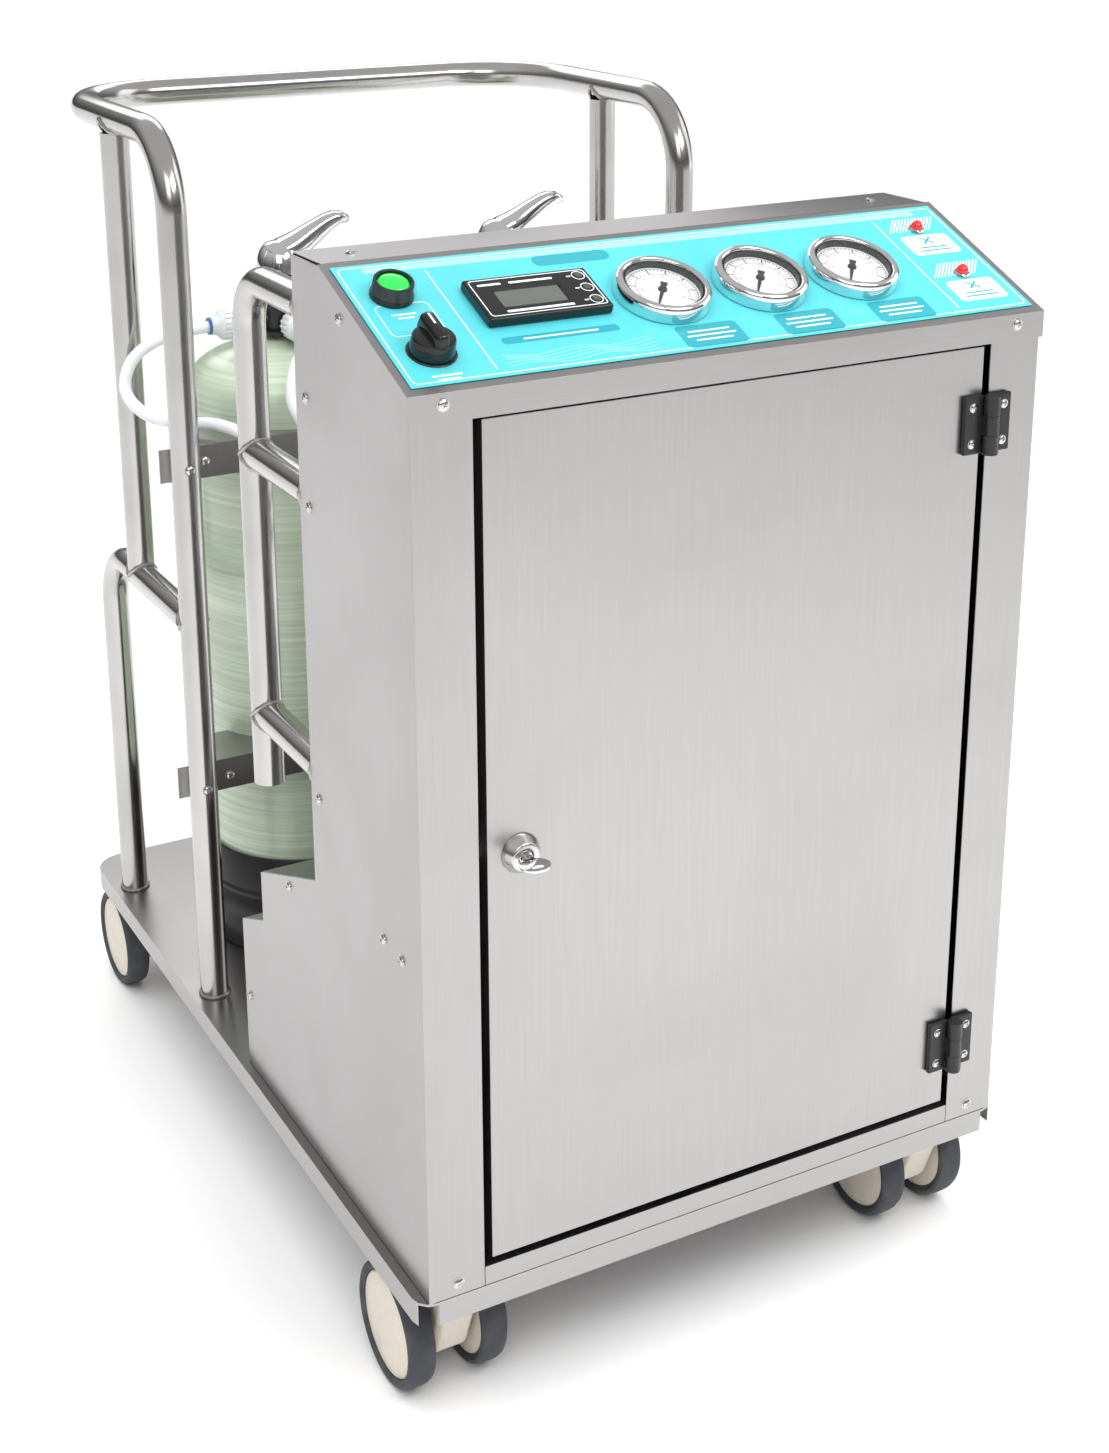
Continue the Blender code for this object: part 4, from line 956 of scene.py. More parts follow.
class UNIT_OT_hoses(bpy.types.Operator):
    """Lay the white hoses, screw on their nuts and fit their bulkhead fittings"""
    bl_idname = "unit.hoses"
    bl_label = "Hoses"

    ROUTES = {
        "left_inlet": [
            (-0.222, 0.602, 0.597), (-0.252, 0.604, 0.580), (-0.262, 0.600, 0.553), (-0.252, 0.578, 0.535),
            (-0.232, 0.548, 0.532), (-0.205, 0.512, 0.534), (-0.183, 0.478, 0.522), (-0.163, 0.410, 0.498),
            (-0.148, 0.300, 0.464), (-0.145, 0.2143, 0.450), (-0.145, 0.1943, 0.450)],
        "left_outlet": [
            (-0.122, 0.523, 0.592), (-0.138, 0.509, 0.572), (-0.144, 0.496, 0.548), (-0.132, 0.478, 0.522),
            (-0.112, 0.430, 0.500), (-0.100, 0.330, 0.485), (-0.100, 0.2143, 0.480),
            (-0.100, 0.1943, 0.480)],
        "right_outlet": [
            (0.196, 0.588, 0.596), (0.208, 0.560, 0.578), (0.204, 0.520, 0.552), (0.188, 0.460, 0.525),
            (0.170, 0.380, 0.490), (0.150, 0.290, 0.459), (0.145, 0.2143, 0.450), (0.145, 0.1943, 0.450)],
    }

    def execute(self, context):
        starts = {"left_inlet": ((-TANK_X - PORT_REACH, TANK_Y, PORT_Z), (-0.020, 0, 0)),
                  "left_outlet": ((-TANK_X, TANK_Y - PORT_REACH, PORT_Z), (0, -0.014, 0)),
                  "right_outlet": ((TANK_X + PORT_REACH, TANK_Y, PORT_Z), (0.014, 0, 0))}
        for name, route in self.ROUTES.items():
            first, step = starts[name]
            begin = at(*first)
            points = [begin, begin + Vector(step)] + [at(*point) for point in route]
            shape = Shape().swept(smooth_path(points), 0.0055, 18)
            shape.piece("white_hose_" + name, "frame", finish(hose_wall), "white_plastic",
                        ["hose_" + name], angle=60)
            self.nut(name, begin, Vector(step), 0.014 if name == "left_inlet" else 0.0)
            self.bulkhead(name, points[-1])
        return {"FINISHED"}

    def nut(self, name, begin, step, reach):
        """A ribbed union nut over a port, with a collet where the hose comes out."""
        place = facing(begin, step)
        nut = Shape().turned([(0.0108, -0.0160), (0.0128, -0.0160), (0.0134, -0.0150),
                              (0.0134, reach - 0.0010), (0.0126, reach + 0.0004),
                              (0.0098, reach + 0.0030), (0.0088, reach + 0.0048),
                              (0.0085, reach + 0.0085), (0.0078, reach + 0.0092), (0.0060, reach + 0.0092),
                              (0.0060, -0.0002), (0.0108, -0.0002)], place, looped=True)
        for i in range(18):
            turn = Matrix.Rotation(math.tau * i / 18, 4, "Z")
            nut.block((0.0128, -0.0009, -0.0148), (0.0142, 0.0009, reach - 0.0012), place @ turn)
        nut.piece("union_nut_" + name, "frame", finish(white_plastic), "white_plastic")
        collet = Shape().turned([(0.0057, reach + 0.0090), (0.0078, reach + 0.0094),
                                 (0.0080, reach + 0.0108), (0.0074, reach + 0.0116),
                                 (0.0057, reach + 0.0116)], place, looped=True)
        collet.piece("hose_collet_" + name, "frame", finish(blue_plastic), "filter_blue")

    def bulkhead(self, name, end):
        """The fitting on the cabinet's back that takes the hose."""
        place = facing(end, Y_AXIS)
        body = Shape().turned([(0.0058, 0.0006), (0.0150, 0.0006), (0.0150, 0.0030), (0.0118, 0.0036),
                               (0.0112, 0.0120), (0.0100, 0.0140), (0.0082, 0.0146), (0.0058, 0.0146)],
                              place, looped=True)
        body.prism(circle(0.0155, 6), 0.0030, 0.0085, place)
        body.piece("hose_bulkhead_" + name, "frame", finish(black_plastic), "black_plastic")


class UNIT_OT_foil(bpy.types.Operator):
    """Print the console's foil"""
    bl_idname = "unit.foil"
    bl_label = "Console foil"

    def execute(self, context):
        dress("console_overlay", finish(foil_ground))
        low_v, high_v, half = 0.0075, 0.1480, 0.2555
        middle = (low_v + high_v) / 2
        pale, field, white = Shape(), Shape(), Shape()
        width, height = 2 * half - 0.006, high_v - low_v - 0.006
        edge = on_console(0, middle, FOIL_TOP)
        self.outline(white, width, height, 0.0045, 0.0009, edge)
        self.block(pale, 0, high_v - 0.0082, 0.470, 0.0065, 0.003)
        for u in (-0.190, 0.192):
            self.block(white, u, middle - 0.003, 0.0009, height - 0.016, 0.0003)
        for u in (-0.0335, 0.0490, 0.1305):
            self.label(field, white, u + 0.014, 0.0230, 0.050, 0.0250)
        self.block(field, -0.077, 0.1300, 0.062, 0.0125, 0.006)
        self.lines(white, -0.128, 0.0440, (0.058,), 0.0042, 0.00008)
        self.block(field, -0.128, 0.0440, 0.090, 0.0075, 0.003)
        for v in (0.056, 0.118):
            self.alarm_box(white, field, 0.223, v)
        self.lines(white, -0.2265, 0.0865, (0.018, 0.012))
        self.lines(white, -0.226, 0.0165, (0.022, 0.016))
        self.outline(white, 0.040, 0.036, 0.005, 0.0007, on_console(-0.2245, 0.0805, FOIL_TOP))
        self.waves(pale)
        pale.piece("foil_pale_print", "frame", finish(foil_pale), "overlay_turquoise")
        field.piece("foil_label_fields", "frame", finish(foil_field), "overlay_turquoise")
        white.piece("foil_white_print", "frame", finish(ink_white), "overlay_turquoise")
        return {"FINISHED"}

    def block(self, shape, u, v, width, height, radius, lift=0.0):
        shape.prism(rounded(width, height, min(radius, height / 2.01, width / 2.01)), lift, lift + 0.00006,
                    on_console(u, v, FOIL_TOP))

    def outline(self, shape, width, height, radius, line, place, lift=0.0):
        shape.frame_ring(rounded(width, height, radius),
                         rounded(width - 2 * line, height - 2 * line, max(radius - line, 0.0004)),
                         lift, lift + 0.00006, place)

    def lines(self, shape, u, v, widths, pitch=0.0042, lift=0.0):
        """Bars that stand for lines of small print."""
        for i, width in enumerate(widths):
            self.block(shape, u, v - i * pitch, width, 0.0016, 0.0007, lift)

    def label(self, field, white, u, v, width, height):
        self.block(field, u, v, width, height, 0.0035)
        self.lines(white, u, v + 0.0050, (0.034, 0.040, 0.030), 0.0050, 0.00008)

    def alarm_box(self, white, field, u, v):
        """The white field under an alarm lamp: hatching, a cross and small print."""
        place = on_console(u, v - 0.006, FOIL_TOP)
        for i in range(-6, 7):
            turn = place @ Matrix.Translation((i * 0.0031, 0.0130, 0)) @ Matrix.Rotation(-0.7, 4, "Z")
            white.block((-0.0006, -0.0110, 0), (0.0006, 0.0110, 0.00006), turn)
        self.block(white, u, v - 0.0210, 0.044, 0.026, 0.004)
        cross = place @ Matrix.Translation((0, -0.0095, 0.00007))
        for turn in (0.72, -0.72):
            field.block((-0.0062, -0.0009, 0), (0.0062, 0.0009, 0.00006),
                        cross @ Matrix.Rotation(turn, 4, "Z") @ Matrix.Translation((0, 0, 0.00001 * turn)))
        self.lines(field, u, v - 0.0245, (0.026, 0.030), 0.0042, 0.00008)

    def waves(self, shape):
        """Thin waves low on the foil, under the gauges."""
        for k in range(5):
            v = 0.0165 + 0.0028 * k
            path = []
            for i in range(41):
                u = -0.180 + 0.115 * i / 40
                path.append(on_console(u, v + 0.0020 * math.sin(i * 0.30 + 0.55 * k), FOIL_TOP).translation)
            self.ribbon(shape, path, 0.00035)

    def ribbon(self, shape, path, half):
        rings = []
        for i, point in enumerate(path):
            ahead = (path[min(i + 1, len(path) - 1)] - path[max(i - 1, 0)]).normalized()
            side = ahead.cross(CONSOLE_OUT) * half
            up = CONSOLE_OUT * 0.00005
            rings.append([point - side, point + side, point + side + up, point - side + up])
        shape.rings(rings)


class UNIT_OT_meter(bpy.types.Operator):
    """Make the meter's front, its screen and the marks round its keys"""
    bl_idname = "unit.meter"
    bl_label = "Meter"

    def execute(self, context):
        dress("meter_case", finish(gloss_black), 0.0008)
        place = on_console(-0.128, 0.083)
        top = 0.0075
        line = Shape().frame_ring(rounded(0.0905, 0.0425, 0.003), rounded(0.0889, 0.0409, 0.0024),
                                  top - 0.0001, top + 0.0001, place)
        line.piece("meter_border", "frame", finish(ink_white), "black_plastic")
        marks = Shape()
        for v in (0.0145, 0.0, -0.0145):
            marks.frame_ring(circle(0.0050, 32, (0.0385, v)), circle(0.0043, 32, (0.0385, v)),
                             top - 0.0001, top + 0.0001, place)
            marks.block((0.0292, v - 0.0006, top - 0.0001), (0.0325, v + 0.0006, top + 0.0001), place)
        for low, high in ((-0.040, -0.022), (-0.016, 0.018)):
            marks.prism([(x + (low + high) / 2, y + 0.0150) for x, y in rounded(high - low, 0.0022, 0.0010)],
                        top - 0.0001, top + 0.0001, place)
        marks.prism([(x - 0.006, y - 0.0172) for x, y in rounded(0.052, 0.0024, 0.0011)],
                    top - 0.0001, top + 0.0001, place)
        marks.piece("meter_marks", "frame", finish(ink_white), "black_plastic")
        screen = Shape().prism([(x - 0.0065, y - 0.0020) for x, y in rounded(0.0490, 0.0182, 0.0012)],
                               0.0064, 0.0068, place)
        screen.piece("meter_screen", "frame", finish(lcd_card), "black_plastic")
        cover = Shape().prism([(x - 0.0065, y - 0.0020) for x, y in rounded(0.0502, 0.0192, 0.0012)],
                              0.0071, 0.0074, place)
        cover.piece("meter_window", "frame", finish(clear_cover), "black_plastic")
        for index in (1, 2, 3):
            dress(f"meter_key_{index}", finish(key_rubber), 0.0003)
        return {"FINISHED"}


class UNIT_OT_gauges(bpy.types.Operator):
    """Make the pressure gauges: case, dial, figures, pointer and window"""
    bl_idname = "unit.gauges"
    bl_label = "Gauges"

    RADIUS = 0.0355
    DIAL = 0.0290
    ZERO = math.radians(225)       # the scale's first mark, clockwise from straight up
    SWEEP = math.radians(270)

    def execute(self, context):
        for index in (1, 2, 3):
            pivot = Vector(JOINTS[f"pointer_{index}_turn"]["pos_m"])
            place = facing(pivot, CONSOLE_OUT, CONSOLE_UP)
            self.case(index, place)
            self.dial(index, place)
            self.pointer(index, place)
        return {"FINISHED"}

    def case(self, index, place):
        r, floor = self.RADIUS, 0.0045
        steel = Shape().turned([
            (0.0022, floor), (self.DIAL, floor), (self.DIAL, 0.0105), (self.DIAL + 0.0006, 0.0117),
            (self.DIAL + 0.0016, 0.0125), (self.DIAL + 0.0030, 0.0126), (r - 0.0018, 0.0118),
            (r - 0.0006, 0.0100), (r - 0.0002, 0.0070), (r, 0.0030), (r, 0.0004), (r - 0.0006, 0),
            (0.0308, 0), (0.0308, -0.034), (0.007, -0.034), (0.007, -0.048),
            (0.0022, -0.048)], place, looped=True)
        steel.piece(f"gauge_bezel_{index}", "frame", finish(chrome, "bright"), "gauge_steel",
                    [f"gauge_case_{index}"], angle=50)
        wall = Shape().turned([(self.DIAL - 0.0001, 0.0047), (self.DIAL - 0.0001, 0.0104),
                               (self.DIAL - 0.0011, 0.0104), (self.DIAL - 0.0013, 0.0047)],
                              place, looped=True)
        wall.piece(f"gauge_seal_{index}", "frame", finish(black_plastic), "black_plastic")
        window = Shape().turned([(0, 0.0104), (self.DIAL - 0.0002, 0.0104), (self.DIAL - 0.0002, 0.0094),
                                 (0, 0.0094)], place)
        window.piece(f"gauge_window_{index}", "frame", finish(clear_cover), "gauge_steel")

    def angle(self, share):
        """The place of a reading, as an angle from the dial's X axis."""
        return math.pi / 2 - (self.ZERO + self.SWEEP * share)

    def dial(self, index, place):
        top = 0.0052
        card = Shape().turned([(0.0026, top), (self.DIAL - 0.0013, top), (self.DIAL - 0.0013, 0.0046),
                               (0.0026, 0.0046)], place, looped=True)
        card.piece(f"gauge_dial_{index}", "frame", finish(dial_card), "gauge_steel")
        black, red = Shape(), Shape()
        marks = 40
        for i in range(marks + 1):
            long_mark = i % 5 == 0
            turn = place @ Matrix.Rotation(self.angle(i / marks), 4, "Z")
            half = 0.00045 if long_mark else 0.00022
            inner = 0.0222 if long_mark else 0.0236
            black.block((inner, -half, top - 0.0001), (0.0258, half, top + 0.00006), turn)
            if i % 4 == 0:
                red.block((0.0176, -0.0002, top - 0.0001), (0.0196, 0.0002, top + 0.00006), turn)
        self.arc_band(black, 0.0258, 0.0261, top, place)
        self.arc_band(red, 0.0194, 0.0198, top, place)
        for k in range(9):
            turn = self.angle(k / 8)
            spot = Matrix.Translation((0.0209 * math.cos(turn), 0.0209 * math.sin(turn), top + 0.00003))
            black.stamp(text_mesh(str(2 * k), 0.0042), place @ spot)
        for k in range(0, 11, 2):
            turn = self.angle(k / 10)
            spot = Matrix.Translation((0.0157 * math.cos(turn), 0.0157 * math.sin(turn), top + 0.00003))
            red.stamp(text_mesh(str(24 * k), 0.0030), place @ spot)
        black.piece(f"gauge_scale_{index}", "frame", finish(ink_black), "gauge_steel")
        red.piece(f"gauge_inner_scale_{index}", "frame", finish(ink_red), "gauge_steel")

    def arc_band(self, shape, inner, outer, top, place):
        rings = []
        for i in range(61):
            turn = self.angle(i / 60)
            x, y = math.cos(turn), math.sin(turn)
            rings.append([(inner * x, inner * y, top - 0.0001), (outer * x, outer * y, top - 0.0001),
                          (outer * x, outer * y, top + 0.00006), (inner * x, inner * y, top + 0.00006)])
        shape.rings(rings, place)

    def pointer(self, index, place):
        """The pointer at rest on its stop, just under the scale's first mark."""
        rest = place @ Matrix.Rotation(-math.radians(216), 4, "Z")
        low = 0.0058
        outline = [(-0.0028, -0.0090), (0.0028, -0.0090), (0.0014, 0.0), (0.0012, 0.010), (0.0004, 0.0230),
                   (-0.0004, 0.0230), (-0.0012, 0.010), (-0.0014, 0.0)]
        shape = Shape().prism(outline, low, low + 0.0006, rest)
        shape.turned([(0, low + 0.0018), (0.0012, low + 0.0018), (0.0030, low + 0.0010),
                      (0.0034, low + 0.0003), (0.0034, low - 0.0004), (0, low - 0.0004)], rest)
        shape.turned([(0, low), (0.0012, low), (0.0012, -0.001), (0, -0.001)], rest)
        shape.piece(f"gauge_hand_{index}", f"pointer_{index}", finish(ink_black), "pointer_black",
                    [f"gauge_pointer_{index}"])


class UNIT_OT_switches(bpy.types.Operator):
    """Make the start button, the rotary switch and the alarm lamps"""
    bl_idname = "unit.switches"
    bl_label = "Switches and lamps"

    def execute(self, context):
        self.start_button(on_console(-0.2265, 0.108))
        self.selector(on_console(-0.226, SELECTOR_V))
        for index, v in ((1, 0.056), (2, 0.118)):
            self.alarm_lamp(index, on_console(0.223, v))
        return {"FINISHED"}

    def start_button(self, place):
        seat = Shape().turned([(0.0119, 0.0005), (0.0119, 0.0126), (0.0124, 0.0131), (0.0136, 0.0131),
                               (0.0141, 0.0124), (0.0143, 0.0050), (0.0150, 0.0040), (0.0154, 0.0026),
                               (0.0154, 0.0004), (0.0150, 0), (0.0115, 0), (0.0115, -0.030),
                               (0.004, -0.030), (0.004, 0.0005)], place, looped=True)
        seat.piece("button_seat", "frame", finish(black_plastic), "black_plastic", ["start_button_seat"])
        collar = Shape().turned([(0.0146, 0.0052), (0.0162, 0.0052), (0.0168, 0.0060), (0.0164, 0.0068),
                                 (0.0156, 0.0078), (0.0154, 0.0120), (0.0158, 0.0128), (0.0154, 0.0134),
                                 (0.0146, 0.0132)], place, looped=True)
        collar.piece("button_guard", "frame", finish(clear_cover), "button_green")
        base = 0.0005 + GAP + 0.004
        cap = Shape().turned([(0, base + 0.0084), (0.0050, base + 0.0082), (0.0090, base + 0.0076),
                              (0.0104, base + 0.0068), (0.0113, base + 0.0052), (0.0113, base),
                              (0, base)], place)
        cap.piece("button_lens", "start_button", finish(green_lens), "button_green", ["start_button_cap"])

    def selector(self, place):
        knob = Shape().turned([(0, 0.0132), (0.0132, 0.0132), (0.0144, 0.0126), (0.0149, 0.0114),
                               (0.0153, 0.0050), (0.0155, 0.0016), (0.0150, 0.0010), (0.0109, 0.0010),
                               (0.0109, -0.030), (0, -0.030)], place)
        grip = ((0.0050, 0.0062, -0.0150, 0.0186), (0.0120, 0.0058, -0.0148, 0.0186),
                (0.0165, 0.0053, -0.0144, 0.0180), (0.0195, 0.0048, -0.0138, 0.0172),
                (0.0212, 0.0040, -0.0126, 0.0160), (0.0217, 0.0030, -0.0110, 0.0144))
        rings = []
        for z, half_wide, back, front in grip:
            radius = half_wide * 0.8
            length = front - back
            rings.append([(x, y + (front + back) / 2, z) for x, y in rounded(2 * half_wide, length, radius)])
        knob.rings(rings, place)
        knob.piece("selector_grip", "selector", finish(gloss_black), "black_plastic",
                   ["selector_knob"], angle=40)
        mark = Shape().block((-0.0007, 0.0020, 0.0215), (0.0007, 0.0136, 0.0218), place)
        mark.piece("selector_mark", "selector", finish(ink_white), "black_plastic")
        collar = Shape().turned([(0.0112, -0.0002), (0.0172, -0.0002), (0.0174, 0.0003), (0.0168, 0.0008),
                                 (0.0112, 0.0008)], place, looped=True)
        collar.piece("selector_collar", "frame", finish(black_plastic), "black_plastic")

    def alarm_lamp(self, index, place):
        dome = Shape().turned([(0, 0.0075), (0.0016, 0.0073), (0.0030, 0.0067), (0.0040, 0.0056),
                               (0.0046, 0.0042), (0.0048, 0.0024), (0.0048, 0.0012), (0.0043, 0.0004),
                               (0.0043, -0.018), (0, -0.018)], place)
        dome.piece(f"lamp_dome_{index}", "frame", finish(red_lens), "lamp_red", [f"alarm_lamp_{index}"])
        ring = Shape().turned([(0.0050, 0.0004), (0.0064, 0.0001), (0.0066, 0.0008), (0.0062, 0.0016),
                               (0.0053, 0.0021), (0.0050, 0.0017)], place, looped=True)
        ring.piece(f"lamp_bezel_{index}", "frame", finish(chrome, "bright"), "chrome")


class UNIT_OT_door_hardware(bpy.types.Operator):
    """Make the lock with its key, and dress the hinges"""
    bl_idname = "unit.door_hardware"
    bl_label = "Lock and hinges"

    def execute(self, context):
        for leaf in ("hinge_frame_leaf", "hinge_door_leaf"):
            for height in ("lower", "upper"):
                dress(f"{leaf}_{height}", finish(black_plastic), 0.0004)
        place = facing(Vector(JOINTS["lock_turn"]["pos_m"]), -Y_AXIS, Z_AXIS)
        self.housing(place)
        self.key(place)
        return {"FINISHED"}

    def housing(self, place):
        shell = Shape().turned([(0.0060, 0.0084), (0.0066, 0.0092), (0.0098, 0.0092), (0.0108, 0.0086),
                                (0.0112, 0.0078), (0.0142, 0.0030), (0.0150, 0.0012), (0.0150, 0.0003),
                                (0.0094, 0.0003), (0.0094, -0.020), (0.0060, -0.020)], place, looped=True)
        shell.piece("lock_escutcheon", "door", finish(chrome, "screw"), "chrome", ["lock_housing"])
        nut = Shape()
        nut.prism(circle(0.0150, 6), -0.0085, -0.0030, place)
        nut.piece("lock_nut", "door", finish(chrome, "screw"), "chrome")

    def key(self, place):
        plug = Shape().turned([(0, 0.0084), (0.0050, 0.0084), (0.0055, 0.0078), (0.0055, -0.024),
                               (0, -0.024)], place)
        plug.block((-0.038, -0.007, -0.0235), (0.006, 0.007, -0.0210), place)
        plug.turned([(0, -0.0275), (0.0042, -0.0275), (0.0046, -0.0265), (0.0046, -0.0236),
                     (0, -0.0236)], place)
        plug.piece("lock_plug", "lock", finish(chrome, "screw"), "chrome",
                   ["lock_plug_and_key"], edge=0.0003)
        # Painted shade: a flat black block on the plug's face stands for the dark keyway round the key
        slot = Shape().block((-0.0044, -0.0011, 0.0080), (0.0044, 0.0011, 0.00845), place)
        slot.piece("lock_keyway_painted_shade", "lock", finish(ink_black), "chrome")
        flat = place @ Matrix.Translation((0, 0, 0.022)) @ Matrix.Rotation(math.pi / 2, 4, "X")
        outer, hole = [], []
        for i in range(40):
            turn = math.tau * i / 40
            outer.append((0.0112 * math.cos(turn), 0.0098 * math.sin(turn)))
            hole.append((0.0046 * math.cos(turn), 0.0042 + 0.0022 * math.sin(turn)))
        key = Shape().frame_ring(outer, hole, -0.0009, 0.0009, flat)
        key.prism([(-0.0036, -0.0135), (0.0036, -0.0135), (0.0036, -0.0090), (0.0060, -0.0070),
                   (-0.0060, -0.0070), (-0.0036, -0.0090)], -0.0009, 0.0009, flat)
        key.block((-0.0012, -0.0135, -0.0012), (0.0002, -0.0060, 0.0012), flat)
        key.piece("lock_key", "lock", finish(chrome, "bright"), "chrome", edge=0.0003)


class UNIT_OT_screws(bpy.types.Operator):
    """Drive the cross-head screws into the sheets, brackets and hinges"""
    bl_idname = "unit.screws"
    bl_label = "Screws"

    SIDE = ((0.250, 0.224), (0.355, 0.071), (0.064, 0.268), (0.033, 0.266), (0.179, 0.330),
            (0.176, 0.562), (0.175, 0.644))

    def execute(self, context):
        head = cross_head()
        radius = settings().screw_radius
        sheets, brackets = Shape(), Shape()
        for side in (-1, 1):
            for y, z in self.SIDE:
                self.drive(sheets, head, at(side * HALF_CAB, y, z), X_AXIS * side, radius, y + z)
            lid_side = at(side * (HALF_CAB + 0.0018), 0.105, 0.715)
            self.drive(sheets, head, lid_side, X_AXIS * side, radius, 0.3)
            self.drive(sheets, head, at(side * 0.2365, -0.002, 0.677), -Y_AXIS, radius, 0.5 + side)
            self.drive(sheets, head, at(side * 0.236, 0, 0.0108), -Y_AXIS, radius, 0.2 - side)
            leg_front = LEG_Y - settings().tube_radius
            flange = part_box("tank_bracket_upper")[0].y - FRONT_Y
            for z, inner_x, inner_z in ((0.508, 0.225, 0.507), (0.210, 0.217, 0.208)):
                leg = at(side * LEG_X, leg_front + 0.0004, z)
                self.drive(brackets, head, leg, -Y_AXIS, radius * 1.05, z)
                self.drive(brackets, head, at(side * inner_x, flange, inner_z), -Y_AXIS, radius, z + side)
        sheets.piece("sheet_screws", "frame", finish(chrome, "screw"), "chrome")
        brackets.piece("bracket_screws", "frame", finish(chrome, "screw"), "chrome")
        self.hinges(head)
        self.cover(head, radius)
        bpy.data.meshes.remove(head)
        return {"FINISHED"}

    def drive(self, shape, head, point, out, radius, turn):
        place = facing(point, out) @ Matrix.Rotation(turn * 7, 4, "Z")
        shape.stamp(head, place @ Matrix.Diagonal((radius, radius, radius, 1)))

    def hinges(self, head):
        """Two screws in each hinge leaf."""
        for leaf, body, sign in (("hinge_frame_leaf", "frame", 1), ("hinge_door_leaf", "door", -1)):
            shape = Shape()
            for height in ("lower", "upper"):
                low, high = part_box(f"{leaf}_{height}")
                pivot = Vector(JOINTS["door_hinge"]["pos_m"])
                face = FRONT_Y - 0.0048
                for k in (-1, 1):
                    point = Vector((pivot.x + sign * 0.0145, face, (low.z + high.z) / 2 + k * 0.0140))
                    self.drive(shape, head, point, -Y_AXIS, 0.0036, k + sign)
            shape.piece(f"{leaf}_screws", body, finish(chrome, "screw"), "chrome")

    def cover(self, head, radius):
        """Screws along the edges of the back cover."""
        shape = Shape()
        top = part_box("back_cover")[1]
        small = radius * 0.9
        for side in (-1, 1):
            for z in COVER_SCREWS_Z:
                self.drive(shape, head, at(side * 0.245, CAB_DEPTH + 0.0001, z), Y_AXIS, small, z)
            self.drive(shape, head, Vector((side * 0.225, CAB_DEPTH + FRONT_Y - 0.026, top.z)),
                       Z_AXIS, small, side)
        shape.piece("cover_screws", "frame", finish(chrome, "screw"), "chrome")


class UNIT_OT_cabinet_inside(bpy.types.Operator):
    """Dress what stands in the cabinet"""
    bl_idname = "unit.cabinet_inside"
    bl_label = "Inside the cabinet"

    def execute(self, context):
        dress("pump_motor", finish(motor_enamel), 0.0008)
        dress("booster_pump", finish(brushed_sheet, "X"), 0.0006)
        dress("membrane_vessel", finish(vessel_white), 0.0006)
        dress("prefilter_housing", finish(blue_plastic), 0.0006)
        dress("control_box", finish(box_grey), 0.0015)
        self.motor_fins()
        self.vessel_bands()
        return {"FINISHED"}

    def motor_fins(self):
        low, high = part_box("pump_motor")
        radius = 0.058
        centre = Vector((0, (low.y + high.y) / 2, high.z - radius))
        fins = Shape()
        for i in range(26):
            turn = math.tau * i / 26
            if math.sin(turn) < -0.55:
                continue
            place = Matrix.Translation(centre) @ Matrix.Rotation(turn, 4, "X")
            fins.block((low.x + 0.028, radius - 0.001, -0.0011),
                       (high.x - 0.014, radius + 0.0055, 0.0011), place)
        fins.piece("motor_fins", "frame", finish(motor_enamel), "motor_paint", edge=0.0004)
        cowl = Shape().turned([(radius - 0.004, 0.0012), (radius + 0.0062, 0.0012), (radius + 0.0066, 0.004),
                               (radius + 0.0066, 0.026), (radius + 0.001, 0.026), (radius + 0.0006, 0.003)],
                              facing(Vector((low.x, centre.y, centre.z)), X_AXIS), looped=True)
        cowl.piece("motor_cowl", "frame", finish(black_plastic), "black_plastic")

    def vessel_bands(self):
        low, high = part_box("membrane_vessel")
        centre = (low + high) / 2
        radius = min(high.x - low.x, high.y - low.y) / 2
        bands = Shape()
        for share in (0.22, 0.78):
            z = low.z + share * (high.z - low.z)
            place = Matrix.Translation((centre.x, centre.y, z))
            bands.turned([(radius + 0.0001, -0.010), (radius + 0.0014, -0.010), (radius + 0.0014, 0.010),
                          (radius + 0.0001, 0.010)], place, looped=True)
        bands.piece("vessel_bands", "frame", finish(chrome, "screw"), "chrome")


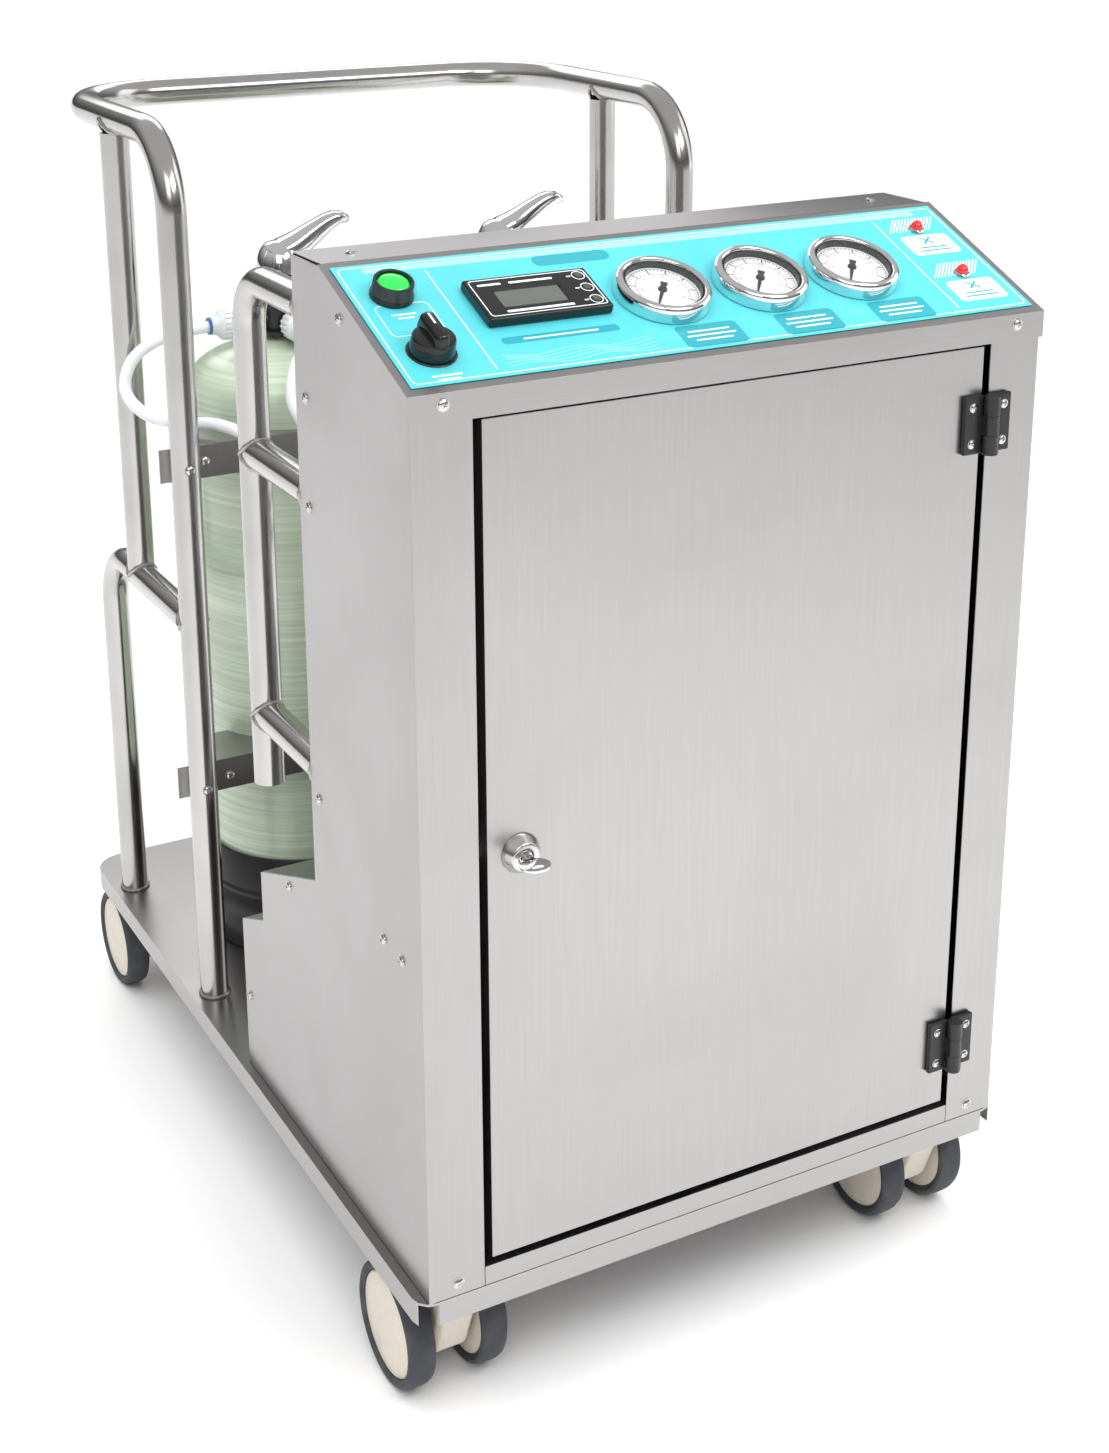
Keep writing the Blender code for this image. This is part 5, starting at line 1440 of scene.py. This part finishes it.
class UNIT_OT_stage(bpy.types.Operator):
    """Lay the floor, hang the lights and set the camera"""
    bl_idname = "unit.stage"
    bl_label = "Stage"

    def execute(self, context):
        floor = Shape()
        floor.prism(rounded(60, 60, 8, 12), -0.06, -0.0002)
        made = bpy.data.objects.new("floor", floor.mesh("floor"))
        bpy.context.scene.collection.objects.link(made)
        made.data.materials.append(finish(pale_floor))
        self.world()
        self.light("key", (-1.3, -2.6, 2.4), (0.0, 0.0, 0.45), 1.6, 1.6, 16)
        self.light("front_pool", (0.5, -1.5, 1.9), (0.25, -1.2, 0.0), 1.1, 0.8, 16)
        self.light("rear", (0.6, 2.6, 2.3), (0.0, 0.1, 0.5), 2.4, 1.2, 20)
        self.light("right", (2.6, -0.4, 1.6), (0.1, 0.0, 0.5), 1.4, 2.2, 14)
        self.sky()
        self.camera()
        return {"FINISHED"}

    def world(self):
        world = bpy.data.worlds.new("studio")
        bpy.context.scene.world = world
        world.use_nodes = True
        tree = world.node_tree
        ground = tree.nodes["Background"]
        ground.inputs["Strength"].default_value = 0.60
        place = tree.nodes.new("ShaderNodeTexCoord")
        height = tree.nodes.new("ShaderNodeSeparateXYZ")
        ramp = tree.nodes.new("ShaderNodeValToRGB")
        stops = ((0.0, 0.10), (0.10, 0.16), (0.32, 0.55), (0.60, 1.0))
        ramp.color_ramp.elements.new(0.3)
        ramp.color_ramp.elements.new(0.6)
        for element, (position, grey) in zip(ramp.color_ramp.elements, stops):
            element.position = position
            element.color = (grey, grey, grey, 1)
        tree.links.new(place.outputs["Generated"], height.inputs["Vector"])
        tree.links.new(height.outputs["Z"], ramp.inputs["Fac"])
        tree.links.new(ramp.outputs["Color"], ground.inputs["Color"])
        bpy.context.scene.view_settings.view_transform = "Standard"

    def sky(self):
        """A broad soft light from above, so that the whole floor is white."""
        data = bpy.data.lights.new("sky", "SUN")
        data.energy = 2.5 * settings().light_power
        data.angle = math.radians(70)
        obj = bpy.data.objects.new("sky", data)
        bpy.context.scene.collection.objects.link(obj)
        obj.rotation_euler = (math.radians(12), math.radians(-14), 0)
        obj.visible_glossy = False

    def light(self, name, place, target, width, height, power):
        data = bpy.data.lights.new(name, "AREA")
        data.shape = "RECTANGLE"
        data.size = width
        data.size_y = height
        data.energy = power * settings().light_power
        obj = bpy.data.objects.new(name, data)
        bpy.context.scene.collection.objects.link(obj)
        obj.location = place
        obj.rotation_euler = (Vector(target) - Vector(place)).to_track_quat("-Z", "Y").to_euler()

    def camera(self):
        data = bpy.data.cameras.new("camera")
        data.sensor_width = 36.0
        data.lens = 52.15
        data.shift_x = -0.0006
        data.shift_y = -0.1718
        data.clip_end = 200
        obj = bpy.data.objects.new("camera", data)
        bpy.context.scene.collection.objects.link(obj)
        yaw, pitch, roll = math.radians(-28.661), math.radians(-16.958), math.radians(-0.144)
        turn = (Matrix.Rotation(yaw, 4, "Z") @ Matrix.Rotation(math.pi / 2 + pitch, 4, "X")
                @ Matrix.Rotation(roll, 4, "Z"))
        obj.matrix_world = Matrix.Translation((-0.7977, -1.5679, 1.148)) @ turn
        bpy.context.scene.camera = obj


OPERATORS = (UNIT_OT_sheets, UNIT_OT_tubes, UNIT_OT_castors, UNIT_OT_tanks, UNIT_OT_hoses, UNIT_OT_foil,
             UNIT_OT_meter, UNIT_OT_gauges, UNIT_OT_switches, UNIT_OT_door_hardware, UNIT_OT_screws,
             UNIT_OT_cabinet_inside, UNIT_OT_stage)


class UNIT_PT_looks(bpy.types.Panel):
    """Lists the unit's settings and the operators that build it"""
    bl_idname = "UNIT_PT_looks"
    bl_label = "Reverse osmosis unit"
    bl_space_type = "VIEW_3D"
    bl_region_type = "UI"
    bl_category = "Unit"

    def draw(self, context):
        for name in UnitSettings.__annotations__:
            self.layout.prop(context.scene.unit_looks, name)
        for operator in OPERATORS:
            self.layout.operator(operator.bl_idname)


def register():
    for cls in (UnitSettings, *OPERATORS, UNIT_PT_looks):
        bpy.utils.register_class(cls)
    bpy.types.Scene.unit_looks = PointerProperty(type=UnitSettings)


def unregister():
    del bpy.types.Scene.unit_looks
    for cls in (UNIT_PT_looks, *reversed(OPERATORS), UnitSettings):
        bpy.utils.unregister_class(cls)


def main():
    register()
    for operator in OPERATORS:
        group, name = operator.bl_idname.split(".")
        getattr(getattr(bpy.ops, group), name)()


if __name__ == "__main__":
    main()
